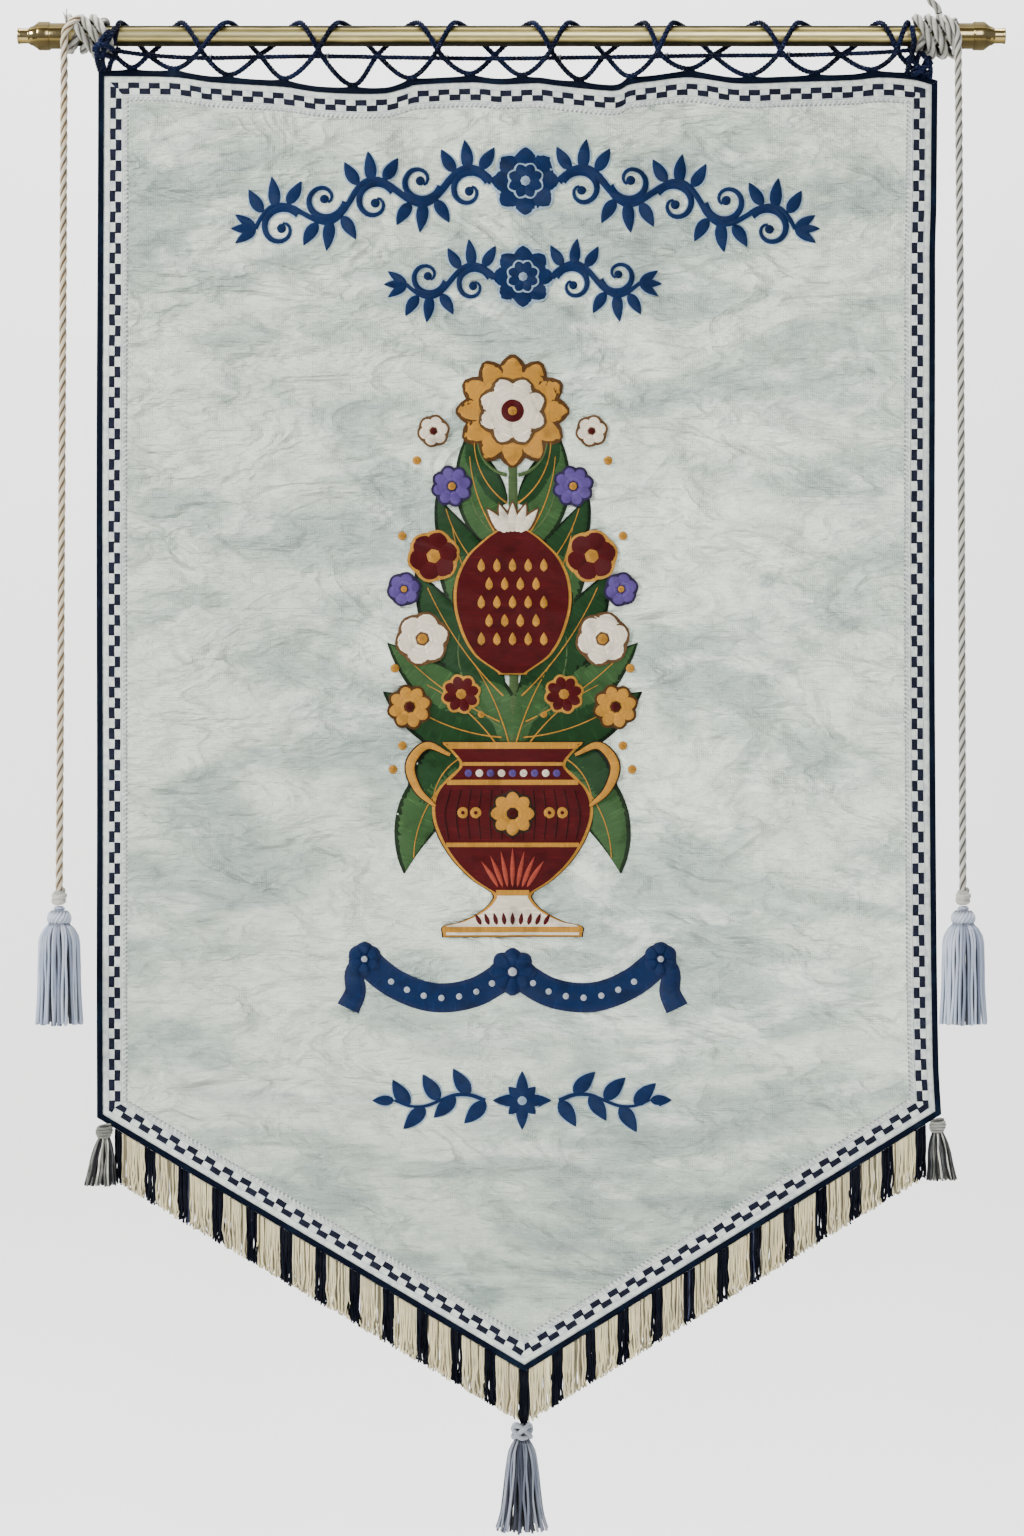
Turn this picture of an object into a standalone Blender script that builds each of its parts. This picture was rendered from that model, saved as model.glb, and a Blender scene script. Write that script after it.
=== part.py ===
"""A fringed silk banner laced to a brass rod, with two tasselled side ropes.

Lengths are in millimetres and become metres as each object is made. The origin is on the rod's axis at
mid length, +X runs to the viewer's right, +Z is up and the banner's face looks to -Y.
"""

import math

import bmesh
import bpy
from mathutils import Vector

MM = 0.001
GAP = 0.3  # between pieces that touch

# Brass rod
ROD_HALF = 537.2
ROD_R = 11.1
ROD_WALL = 1.2
ROD_SIDES = 24
FINIAL_SIDES = 20
SOCKET_DEPTH = 20.0
# Turned knob: distance from its outer end, radius
FINIAL_PROFILE = (
    (0.0, 8.7),
    (2.0, 8.7),
    (2.8, 8.2),
    (12.8, 8.2),
    (15.2, 10.6),
    (22.4, 14.6),
    (23.6, 15.4),
    (34.8, 15.4),
    (36.0, 13.9),
    (57.2, 13.9),
)

# Banner outline, to the outer edge of its binding
TOP_EDGE = (  # x, z
    (-449.9, -37.0),
    (-367.2, -38.2),
    (-326.9, -43.7),
    (-247.5, -49.3),
    (-206.2, -55.5),
    (-139.8, -56.6),
    (-115.9, -50.7),
    (-105.0, -46.8),
    (-44.1, -43.7),
    (-12.5, -46.2),
    (28.8, -45.2),
    (49.5, -47.9),
    (102.8, -53.5),
    (117.0, -52.8),
    (127.8, -46.8),
    (154.0, -42.4),
    (194.2, -38.1),
    (246.4, -45.5),
    (305.2, -43.7),
    (371.6, -41.2),
    (402.0, -38.4),
    (437.9, -41.2),
    (463.8, -48.4),
)
LEFT_EDGE = ((-1176.8, -451.2), (-940.0, -451.6), (-244.0, -451.0), (-37.0, -449.9))  # z, x
RIGHT_EDGE = (  # z, x
    (-1173.3, 467.7),
    (-1114.0, 464.6),
    (-896.5, 461.7),
    (-243.7, 460.8),
    (-178.4, 462.5),
    (-48.0, 463.8),
)
LEFT_CORNER = Vector((-451.2, 0.0, -1176.8))
RIGHT_CORNER = Vector((467.7, 0.0, -1173.3))
POINT = Vector((14.0, 0.0, -1453.3))
SLOPE = math.radians(31.2)  # of the two lower edges

# Cloth and trims
CLOTH_HALF = 1.0
TRIM = 0.8  # thickness of the braid and of the binding
BINDING_WIDTH = 6.15
BRAID_OUTER = BINDING_WIDTH + GAP
BRAID_INNER = 33.6
CLOTH_INSET = TRIM + GAP  # from the binding's outer edge to the cloth's
EDGE_Z = (-45.0, LEFT_CORNER.z)  # heights at which the side edges are read for the first and last rows
HALF_COLUMNS = 14
ROW_SHARES = (0.0, 0.05, 0.11, 0.19, 0.28, 0.39, 0.51, 0.64, 0.77, 0.89, 1.0)
# Soft folds that start at the top edge: x, half width, depth towards the viewer, reach down
FOLDS = (
    (-405.0, 45.0, -3.0, 260.0),
    (-178.0, 64.0, 8.0, 300.0),
    (-72.0, 44.0, -5.0, 220.0),
    (44.0, 30.0, 3.0, 160.0),
    (99.0, 38.0, 7.0, 260.0),
    (190.0, 44.0, -6.0, 240.0),
    (258.0, 40.0, 5.0, 220.0),
    (400.0, 50.0, -4.0, 280.0),
)
EDGE_HOLD = 0.45  # share of a fold's depth that the lacing leaves at the top edge
FOLD_GROWTH = 70.0
SIDE_CURL = 3.5
SIDE_CURL_WIDTH = 60.0
SIDE_CURL_PERIOD = 690.0
SIDE_CURL_GROWTH = 150.0  # drop over which it grows
SIDE_CURL_END = -1130.0
SIDE_CURL_FADE = 250.0  # height over which it dies out
SIDE_CURL_PHASES = ((LEFT_CORNER.x, 0.6), (RIGHT_CORNER.x, 2.4))  # x of the edge, phase

# Lacing, along x: bend at the banner's edge, crossing in front, crest over the rod, way out under the rod
LACING_R = 2.0
WRAP_SLACK = 0.7  # keeps the turn's straight facets off the rod
WRAP_R = ROD_R + GAP + LACING_R + WRAP_SLACK
WRAP_ANGLES = (-20.0, 17.0, 54.0, 90.0, 127.0, 164.0, 200.0)
FRONT_LEAN = 0.3  # share of the crossing to crest run before the cord meets the rod
LACING_A = (
    (-366.1, -336.7, -306.3, -286.7),
    (-247.5, -209.4, -185.5, -158.3),
    (-110.4, -80.0, -59.3, -32.1),
    (11.4, 43.0, 64.7, 89.8),
    (127.8, 159.4, 177.9, 206.7),
    (260.6, 292.1, 313.9, 345.4),
    (393.3, 418.3, 431.6, 434.0),
)
LACING_A_TAIL = (-431.6, -14.6, -12.5)  # x, y, z of its loose end
LACING_A_START = (-430.0, -424.9, -407.5)  # front, crest, way out under the rod
LACING_A_END = 444.5
LACING_B = (
    (437.9, 418.3, 398.8, 378.1),
    (330.2, 292.1, 267.1, 239.9),
    (194.2, 159.4, 143.1, 118.0),
    (74.5, 43.0, 21.2, -4.9),
    (-44.1, -80.0, -105.0, -133.3),
    (-171.4, -209.4, -232.3, -257.3),
    (-308.4, -336.7, -360.7, -381.3),
)
LACING_B_LAST = -412.9
LACING_B_END = (-432.2, -8.0, -22.0)
BACK_CROSSINGS = (-395.0, -274.3, -145.5, -17.7, 102.7, 220.9, 360.0)
# Cord A crosses outside cord B: y of each cord in front and behind, and the crossings' heights
FRONT_Y = {"a": -15.6, "b": -10.6}
BACK_Y = {"a": 11.8, "b": 6.8}
FRONT_CROSSING_Z = -13.0
BACK_CROSSING_Z = -19.0
HEADER_FOLLOW = 0.5  # share of the cloth's folds that the header cord follows
HEADER_CORD = (  # x, z
    (-434.2, -15.0),
    (-424.0, -16.8),
    (-347.6, -23.6),
    (-281.2, -23.0),
    (-230.0, -22.3),
    (-105.0, -23.6),
    (-35.0, -24.4),
    (84.0, -23.6),
    (205.0, -21.3),
    (338.0, -20.1),
    (409.6, -17.1),
    (439.6, -14.8),
)

# Rope hitches round the rod: left end, right end, turns, angle of the crossing turn's middle
ROPE_R = 4.35
HITCHES = {"left": (-479.2, -434.7, 5, -62.0), "right": (440.1, 478.2, 4, 58.0)}
HITCH_SIDES = 18
TURN_DEPTH = 1.6
CROSSING_LIFT = 4.5
CROSSING_SPAN = 75.0
CROSSING_SLEW = 60.0  # degrees that the crossing turn moves along the hitch

CORNER_TIES = {"left": -438.9, "right": 456.0}  # x of the middle of each tie
TIE_HALF = 4.0

# Hanging ropes and their tassels
KNOT_SIDES = 12
ROPE_Y = -(FINIAL_PROFILE[-1][1] + GAP + ROPE_R * math.cos(math.pi / 6))
ROPE_LAY = 40.2  # length of one full turn of its three strands
ROPE_STEPS = 6  # rings in one turn
ROPE_GROOVE = 0.72  # its radius in the grooves between the strands, as a share
ROPES = {  # x, z from the hitch to the slip knot
    "left": ((-484.4, -3.0), (-485.6, -243.0), (-489.9, -928.0)),
    "right": ((483.6, -3.0), (485.7, -243.7), (488.8, -928.0)),
}
TASSEL_X = {"left": -489.9, "right": 489.2}
SLIP_KNOT = (  # z, radius
    (-928.3, 0.0),
    (-929.5, 4.6),
    (-933.0, 8.2),
    (-937.5, 9.0),
    (-942.5, 7.6),
    (-945.5, 4.0),
    (-945.6, 0.0),
)
SIDE_HEAD = (  # z, radius
    (-945.9, 0.0),
    (-945.9, 5.2),
    (-951.5, 5.4),
    (-955.5, 13.9),
    (-963.5, 13.9),
    (-966.6, 12.6),
)
SIDE_SKIRT = ((-968.3, 16.3, 3.0), (-979.0, 22.3, 6.0), (-1075.5, 26.4, 8.0))  # z, outer, inner radius
SIDE_LOCKS = 18
LOCK_NARROWING = (0.86, 0.9)  # width of each lock at its middle and foot, as shares of the one above

# Rope that runs up from the right hitch to a loop
SLING_ROPE = (  # x, z
    (465.2, 24.4),
    (465.0, 26.8),
    (460.8, 33.0),
    (456.0, 38.9),
    (454.2, 41.2),
    (454.2, 42.9),
)
SLING_KNOT = (  # z, radius
    (43.2, 0.0),
    (43.2, 6.6),
    (47.0, 9.4),
    (52.5, 9.8),
    (58.0, 9.0),
    (62.8, 9.6),
    (62.8, 0.0),
)
SLING_X = 454.2
SLING_LOOP = (  # x, z
    (448.9, 63.1),
    (448.9, 67.0),
    (447.6, 72.5),
    (439.6, 80.5),
    (434.2, 92.0),
    (440.6, 104.0),
    (454.2, 109.5),
    (467.8, 104.0),
    (474.2, 92.0),
    (468.8, 80.5),
    (460.8, 72.5),
    (459.5, 67.0),
    (459.5, 63.1),
)

# Fringe and small tassels
FRINGE_DROP = 55.5
FRINGE_HEADING = 3.0
FRINGE_HALF = 1.6
LOCK_TAPER = 0.8
LOCK_SPREAD = 1.2
LOCK_UNEVEN = 1.6  # most that a lock's end stands above or below the fringe's edge
CREAM_BLOCK = 24.6
NAVY_BLOCK = 12.4
CREAM_LOCKS = 4
NAVY_LOCKS = 2
FRINGE_ENDS = {"left": -431.7, "right": 450.9}
CORNER_TASSELS = {  # x at the head, x at the foot, head radius, skirt radius, top z
    "left": (-442.7, -446.2, 9.5, 17.6, -1183.6),
    "right": (463.1, 466.6, 9.2, 16.8, -1177.6),
}
CORNER_HEAD = ((0.0, 0.0), (1.0, 0.37), (6.0, 1.0), (10.5, 1.0), (13.7, 0.7))  # drop, share of its radius
CORNER_SKIRT = ((15.0, 0.85, 2.0), (29.0, 1.35, 3.0))  # drop, share of the head's radius, inner radius
CORNER_FOOT = (67.0, 5.0)  # drop, inner radius
CORNER_LEAN_Y = (-3.2, -12.5)
CORNER_DEPTH = 0.62  # front to back, as a share of its width
CORNER_LOCKS = 12
POINT_X = 11.4
POINT_Y = 4.2
HANGER_R = 1.6
HANGER_Z = (-1446.0, -1509.0)
POINT_HEAD = (  # z, radius
    (-1509.4, 0.0),
    (-1510.2, 5.0),
    (-1514.0, 10.4),
    (-1520.0, 11.6),
    (-1525.5, 10.8),
    (-1527.8, 9.0),
)
POINT_SKIRT = ((-1529.3, 10.9, 2.5), (-1543.0, 17.5, 4.0), (-1626.6, 29.0, 8.0))
POINT_LOCKS = 16

# Finish of each group: colour, metallic, roughness
FINISHES = {
    "brass": ((0.56, 0.43, 0.20), 1.0, 0.28),
    "rope": ((0.66, 0.61, 0.50), 0.0, 0.80),
    "navy_cord": ((0.020, 0.028, 0.085), 0.0, 0.65),
    "silk": ((0.58, 0.63, 0.61), 0.0, 0.50),
    "braid": ((0.70, 0.72, 0.72), 0.0, 0.60),
    "navy_binding": ((0.012, 0.022, 0.075), 0.0, 0.55),
    "fringe": ((0.72, 0.66, 0.54), 0.0, 0.70),
    "lavender": ((0.38, 0.43, 0.58), 0.0, 0.65),
    "grey": ((0.16, 0.17, 0.19), 0.0, 0.70),
}


def clear_scene():
    for obj in list(bpy.data.objects):
        bpy.data.objects.remove(obj, do_unlink=True)


def finish(name):
    """The material of a finish, made once."""
    if name in bpy.data.materials:
        return bpy.data.materials[name]
    colour, metallic, roughness = FINISHES[name]
    material = bpy.data.materials.new(name)
    material.use_nodes = True
    shader = material.node_tree.nodes["Principled BSDF"]
    shader.inputs["Base Color"].default_value = (*colour, 1.0)
    shader.inputs["Metallic"].default_value = metallic
    shader.inputs["Roughness"].default_value = roughness
    return material


def add_object(name, data, finish_name):
    data.materials.append(finish(finish_name))
    obj = bpy.data.objects.new(name, data)
    bpy.context.scene.collection.objects.link(obj)
    return obj


def add_mesh(name, bm, finish_name):
    """Turns a bmesh in millimetres into an object in metres, faces outwards."""
    bmesh.ops.recalc_face_normals(bm, faces=bm.faces)
    bmesh.ops.scale(bm, vec=(MM, MM, MM), verts=bm.verts)
    mesh = bpy.data.meshes.new(name)
    bm.to_mesh(mesh)
    bm.free()
    mesh.shade_smooth()
    mesh.set_sharp_from_angle(angle=math.radians(40))
    return add_object(name, mesh, finish_name)


def add_tube(name, points, radius, finish_name, resolution=1):
    """A round cord along its points, with closed ends."""
    curve = bpy.data.curves.new(name, "CURVE")
    curve.dimensions = "3D"
    curve.bevel_depth = radius * MM
    curve.bevel_resolution = resolution
    curve.use_fill_caps = True
    spline = curve.splines.new("POLY")
    spline.points.add(len(points) - 1)
    for target, point in zip(spline.points, points):
        target.co = (*(Vector(point) * MM), 1.0)
    return add_object(name, curve, finish_name)


def smooth_value(table, at):
    """A smooth line through the table's rows, held level past its two ends."""
    if at <= table[0][0]:
        return table[0][1]
    if at >= table[-1][0]:
        return table[-1][1]
    index = max(i for i in range(len(table) - 1) if table[i][0] <= at)

    def tangent(i):
        before, after = table[max(i - 1, 0)], table[min(i + 1, len(table) - 1)]
        return (after[1] - before[1]) / (after[0] - before[0])

    (start, low), (end, high) = table[index], table[index + 1]
    span = end - start
    t = (at - start) / span
    return (
        low * (2 * t**3 - 3 * t**2 + 1)
        + tangent(index) * span * (t**3 - 2 * t**2 + t)
        + high * (3 * t**2 - 2 * t**3)
        + tangent(index + 1) * span * (t**3 - t**2)
    )


def smooth_route(points, spacing):
    """Points at an even spacing along a smooth curve through the given ones."""
    dense = []
    for i in range(len(points) - 1):
        before, start = points[max(i - 1, 0)], points[i]
        end, after = points[i + 1], points[min(i + 2, len(points) - 1)]
        for k in range(24):
            t = k / 24
            dense.append(
                0.5
                * (
                    2 * start
                    + (end - before) * t
                    + (2 * before - 5 * start + 4 * end - after) * t**2
                    + (3 * start - before - 3 * end + after) * t**3
                )
            )
    dense.append(points[-1])
    runs = [(b - a).length for a, b in zip(dense, dense[1:])]
    count = max(2, round(sum(runs) / spacing))
    step = sum(runs) / count
    route, travelled, target = [dense[0]], 0.0, step
    for a, run, b in zip(dense, runs, dense[1:]):
        while travelled + run >= target - 1e-6 and len(route) < count:
            route.append(a.lerp(b, (target - travelled) / run))
            target += step
        travelled += run
    return route + [dense[-1]]


def fold_depth(x, z):
    """How far the cloth stands behind the rod's axis: its top folds and the curl of its sides."""
    drop = max(0.0, smooth_value(TOP_EDGE, x) - z)
    growth = EDGE_HOLD + (1 - EDGE_HOLD) * (1 - math.exp(-drop / FOLD_GROWTH))
    depth = 0.0
    for centre, half_width, forward, reach in FOLDS:
        across = math.exp(-(((x - centre) / half_width) ** 2))
        depth -= forward * across * growth * math.exp(-((drop / reach) ** 1.5))
    fade = min(1.0, max(0.0, (z - SIDE_CURL_END) / SIDE_CURL_FADE)) * min(1.0, drop / SIDE_CURL_GROWTH)
    for edge, phase in SIDE_CURL_PHASES:
        near = math.exp(-(((x - edge) / SIDE_CURL_WIDTH) ** 2))
        depth += SIDE_CURL * near * fade * math.sin(math.tau * drop / SIDE_CURL_PERIOD + phase)
    return depth


def foot_edge(x):
    corner = LEFT_CORNER if x < POINT.x else RIGHT_CORNER
    return POINT.z + (corner.z - POINT.z) * (x - POINT.x) / (corner.x - POINT.x)


def cloth_point(column, row):
    """A point of the cloth's middle surface.

    A column is (side, inset) or ("mid", share from braid to braid), and a row is ("top", inset),
    ("foot", inset) or ("mid", share from the top braid to the foot braid).
    """
    kind, value = row
    share = {"top": 0.0, "foot": 1.0}.get(kind, value)
    height = EDGE_Z[0] + (EDGE_Z[1] - EDGE_Z[0]) * share
    left = smooth_value(LEFT_EDGE, height)
    right = smooth_value(RIGHT_EDGE, height)
    side, across = column
    if side == "left":
        x = left + across
    elif side == "right":
        x = right - across
    elif across <= 0.5:
        x = left + BRAID_INNER + (POINT.x - left - BRAID_INNER) * across * 2
    else:
        x = POINT.x + (right - BRAID_INNER - POINT.x) * (across - 0.5) * 2
    lean = 1 / math.cos(SLOPE)
    top = smooth_value(TOP_EDGE, x)
    if kind == "top":
        z = top - value
    elif kind == "foot":
        z = foot_edge(x) + value * lean
    else:
        start = top - BRAID_INNER
        z = start + (foot_edge(x) + BRAID_INNER * lean - start) * value
    return Vector((x, fold_depth(x, z), z))


MID_COLUMNS = [("mid", i / (2 * HALF_COLUMNS)) for i in range(1, 2 * HALF_COLUMNS)]
SIDE_LINES = (CLOTH_INSET, BRAID_OUTER, BRAID_INNER)
COLUMNS = (
    [("left", inset) for inset in SIDE_LINES]
    + MID_COLUMNS
    + [("right", inset) for inset in reversed(SIDE_LINES)]
)
ROWS = (
    [("top", inset) for inset in SIDE_LINES]
    + [("mid", share) for share in ROW_SHARES[1:-1]]
    + [("foot", inset) for inset in reversed(SIDE_LINES)]
)
LAST_COLUMN = len(COLUMNS) - 1
LAST_ROW = len(ROWS) - 1


def cloth_grid():
    """The middle surface, its corner cells split along the mitres, and each vertex's place in it."""
    bm = bmesh.new()
    bmesh.ops.create_grid(bm, x_segments=LAST_COLUMN, y_segments=LAST_ROW, size=0.5)
    place = {}
    for vert in bm.verts:
        column = round((vert.co.x + 0.5) * LAST_COLUMN)
        row = round((0.5 - vert.co.y) * LAST_ROW)
        place[vert] = (column, row)
        vert.co = cloth_point(COLUMNS[column], ROWS[row])
    for face in list(bm.faces):
        columns = sorted({place[v][0] for v in face.verts})
        rows = sorted({place[v][1] for v in face.verts})
        if columns[1] <= 2 or columns[0] >= LAST_COLUMN - 2:
            if rows[1] <= 2 or rows[0] >= LAST_ROW - 2:
                falls = (columns[0] <= 2) == (rows[0] <= 2)
                ends = ((columns[0], rows[0]), (columns[1], rows[1]))
                if not falls:
                    ends = ((columns[0], rows[1]), (columns[1], rows[0]))
                pair = [next(v for v in face.verts if place[v] == end) for end in ends]
                bmesh.utils.face_split(face, pair[0], pair[1])
    return bm, place


def thicken(bm, front, back):
    """Makes a sheet of the middle surface into a closed slab between two depths."""
    for vert in bm.verts:
        vert.co.y += back
    made = bmesh.ops.extrude_face_region(bm, geom=bm.faces[:])["geom"]
    for vert in (item for item in made if isinstance(item, bmesh.types.BMVert)):
        vert.co.y += front - back


def make_panel():
    bm, _ = cloth_grid()
    thicken(bm, -CLOTH_HALF, CLOTH_HALF)
    add_mesh("banner_panel", bm, "silk")


def strip_of(columns, rows):
    """The trim that a grid face belongs to, from its middle's column and row."""
    near = {
        "left": columns - 1,
        "right": LAST_COLUMN - 1 - columns,
        "top": rows - 1,
        "foot": LAST_ROW - 1 - rows,
    }
    nearest = min(near, key=near.get)
    if near[nearest] < 0 or near[nearest] > 1:
        return None
    if nearest == "foot":
        return "foot_left" if columns < LAST_COLUMN / 2 else "foot_right"
    return nearest


STRIPS = {  # direction along each trim, pointing to its second end
    "top": Vector((1, 0, 0)),
    "left": Vector((0, 0, -1)),
    "right": Vector((0, 0, -1)),
    "foot_left": (POINT - LEFT_CORNER).normalized(),
    "foot_right": (RIGHT_CORNER - POINT).normalized(),
}


def make_braid(strip):
    """One length of braid on the cloth's face, its two mitred ends half a gap back."""
    bm, place = cloth_grid()
    others = []
    for face in bm.faces:
        column = sum(place[v][0] for v in face.verts) / len(face.verts)
        row = sum(place[v][1] for v in face.verts) / len(face.verts)
        if strip_of(column, row) != strip:
            others.append(face)
    bmesh.ops.delete(bm, geom=others, context="FACES")
    along = STRIPS[strip]
    reach = [vert.co.dot(along) for vert in bm.verts]
    middle = (min(reach) + max(reach)) / 2
    centre = COLUMNS.index(("mid", 0.5))
    for vert in bm.verts:
        column, row = place[vert]
        mitred = min(column, LAST_COLUMN - column) in (1, 2) and min(row, LAST_ROW - row) in (1, 2)
        if mitred or (strip.startswith("foot") and column == centre):
            vert.co += along * (GAP if vert.co.dot(along) < middle else -GAP)
    face_back = -(CLOTH_HALF + GAP)
    thicken(bm, face_back - TRIM, face_back)
    add_mesh("braid_" + strip, bm, "braid")


def skin(bm, rings):
    """A closed skin through rings of equally many points, with flat caps."""
    verts = [bm.verts.new(point) for point in rings[0]]
    bm.faces.new(verts)
    edges = [bm.edges.get((a, b)) for a, b in zip(verts, verts[1:] + verts[:1])]
    for ring in rings[1:]:
        made = bmesh.ops.extrude_edge_only(bm, edges=edges)["geom"]
        follow = {}
        for item in made:
            if isinstance(item, bmesh.types.BMEdge) or isinstance(item, bmesh.types.BMFace):
                continue
            for edge in item.link_edges:
                other = edge.other_vert(item)
                if other in verts:
                    follow[other] = item
        verts = [follow[v] for v in verts]
        for vert, point in zip(verts, ring):
            vert.co = point
        edges = [bm.edges.get((a, b)) for a, b in zip(verts, verts[1:] + verts[:1])]
    bm.faces.new(verts)


def binding_ring(outer, inner):
    """The folded binding's section: a channel that is open towards the inner edge."""
    near, far = CLOTH_HALF + GAP, CLOTH_HALF + GAP + TRIM
    web = TRIM / BINDING_WIDTH
    section = (
        (0.0, -far),
        (0.0, far),
        (1.0, far),
        (1.0, near),
        (web, near),
        (web, -near),
        (1.0, -near),
        (1.0, -far),
    )
    return [outer.lerp(inner, across) + Vector((0, depth, 0)) for across, depth in section]


def make_binding(strip):
    if strip == "top":
        stations = [(column, column, ("top", 0.0), ("top", BINDING_WIDTH)) for column in COLUMNS[1:-1]]
    elif strip in ("left", "right"):
        stations = [((strip, 0.0), (strip, BINDING_WIDTH), row, row) for row in ROWS[1:-1]]
    else:
        middle = LAST_COLUMN // 2
        half = COLUMNS[1 : middle + 1] if strip == "foot_left" else COLUMNS[middle:-1]
        chosen = [half[0], half[len(half) // 2], half[-1]]
        stations = [(column, column, ("foot", 0.0), ("foot", BINDING_WIDTH)) for column in chosen]

    def corner(side, end):
        return ((side, 0.0), (side, BINDING_WIDTH), (end, 0.0), (end, BINDING_WIDTH))

    corners = {
        "top": (corner("left", "top"), corner("right", "top")),
        "left": (corner("left", "top"), corner("left", "foot")),
        "right": (corner("right", "top"), corner("right", "foot")),
        "foot_left": (corner("left", "foot"), None),
        "foot_right": (None, corner("right", "foot")),
    }[strip]
    stations = [corners[0]] * bool(corners[0]) + stations + [corners[1]] * bool(corners[1])
    rings = []
    for outer_column, inner_column, outer_row, inner_row in stations:
        outer = cloth_point(outer_column, outer_row)
        inner = cloth_point(inner_column, inner_row)
        rings.append(binding_ring(outer, inner))
    along = STRIPS[strip]
    rings[0] = [point + along * GAP for point in rings[0]]
    rings[-1] = [point - along * GAP for point in rings[-1]]
    bm = bmesh.new()
    skin(bm, rings)
    add_mesh("binding_" + strip, bm, "navy_binding")


def top_point(x):
    """The point on the top edge at x, on the straight facets between the columns."""
    edge = [cloth_point(column, ("top", 0.0)) for column in COLUMNS]
    for a, b in zip(edge, edge[1:]):
        if a.x <= x <= b.x:
            return a.lerp(b, (x - a.x) / (b.x - a.x))
    return edge[0] if x < edge[0].x else edge[-1]


def lacing_wrap(front_x, crest_x, back_x):
    """The half turn of a lacing cord over the rod, from its front to its back."""
    turn = []
    for angle in WRAP_ANGLES:
        share = (angle - WRAP_ANGLES[0]) / (90.0 - WRAP_ANGLES[0])
        x = front_x + (crest_x - front_x) * share
        if angle > 90.0:
            x = crest_x + (back_x - crest_x) * (angle - 90.0) / (WRAP_ANGLES[-1] - 90.0)
        around = math.radians(angle)
        turn.append(Vector((x, -WRAP_R * math.cos(around), WRAP_R * math.sin(around))))
    return turn


def eyelet(x):
    """The bend of a lacing cord where it is sewn to the binding's top edge."""
    return top_point(x) + Vector((0, 0, GAP + LACING_R))


def front_run(cord, row):
    """A cord from its bend at the edge, through its front crossing and over the rod."""
    bend, crossing, crest, under = row
    turn = lacing_wrap(crossing + (crest - crossing) * FRONT_LEAN, crest, under)
    return [eyelet(bend), Vector((crossing, FRONT_Y[cord], FRONT_CROSSING_Z)), *turn]


def back_crossing(cord, x):
    return Vector((x, BACK_Y[cord], BACK_CROSSING_Z))


def make_lacing():
    """Two cords laced in opposite directions."""
    cord_a = [Vector(LACING_A_TAIL), *lacing_wrap(*LACING_A_START)]
    for row, behind in zip(LACING_A, BACK_CROSSINGS):
        cord_a += [back_crossing("a", behind), *front_run("a", row)]
    cord_a.append(eyelet(LACING_A_END))
    add_tube("lacing_cord_a", cord_a, LACING_R, "navy_cord")

    cord_b = []
    for row, behind in zip(LACING_B, reversed(BACK_CROSSINGS)):
        cord_b += [*front_run("b", row), back_crossing("b", behind)]
    cord_b += [eyelet(LACING_B_LAST), Vector(LACING_B_END)]
    add_tube("lacing_cord_b", cord_b, LACING_R, "navy_cord")


def make_header_cord():
    points = [Vector((x, top_point(x).y * HEADER_FOLLOW, z)) for x, z in HEADER_CORD]
    add_tube("header_cord", points, LACING_R, "navy_cord")


def turned(bm, profile, sides, axis=(0, 0, 1)):
    """Spins a profile of points, which lies in a plane through the axis, right round."""
    verts = [bm.verts.new(point) for point in profile]
    edges = [bm.edges.new(pair) for pair in zip(verts, verts[1:])]
    bmesh.ops.spin(bm, geom=verts + edges, axis=axis, steps=sides, angle=math.tau, use_merge=True)
    bmesh.ops.remove_doubles(bm, verts=bm.verts, dist=0.001)


def make_rod():
    half = ROD_HALF - FINIAL_PROFILE[-1][0] + SOCKET_DEPTH - GAP
    inner = ROD_R - ROD_WALL
    corners = ((-half, inner), (-half, ROD_R), (half, ROD_R), (half, inner))
    bm = bmesh.new()
    profile = [(x, 0, r) for x, r in corners]
    turned(bm, profile + profile[:1], ROD_SIDES, axis=(1, 0, 0))
    add_mesh("rod_tube", bm, "brass")


def make_finial(side):
    sign = -1 if side == "left" else 1
    bore = ROD_R + GAP
    socket = FINIAL_PROFILE[-1][0] - SOCKET_DEPTH
    inner_end = FINIAL_PROFILE[-1][0]
    outline = [(0.0, 0.0), *FINIAL_PROFILE, (inner_end, bore), (socket, bore), (socket, 0.0)]
    bm = bmesh.new()
    turned(bm, [(sign * (ROD_HALF - x), 0, r) for x, r in outline], FINIAL_SIDES, axis=(1, 0, 0))
    add_mesh("finial_" + side, bm, "brass")


def hitch_radius(side, share, angle):
    """The hitch's outer radius at a share of its length and an angle round the rod, 0 at the front."""
    _, _, turns, crossing = HITCHES[side]
    ridge = abs(math.sin(math.pi * turns * share)) ** 0.5
    middle = crossing + CROSSING_SLEW * (share - 0.5)
    off = (angle - middle + 180.0) % 360.0 - 180.0
    fade = math.sin(math.pi * min(1.0, max(0.0, share))) ** 0.5
    lift = CROSSING_LIFT * math.exp(-((off / CROSSING_SPAN) ** 2)) * fade
    return ROD_R + GAP + 2 * ROPE_R - TURN_DEPTH * (1 - ridge) + lift


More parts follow.
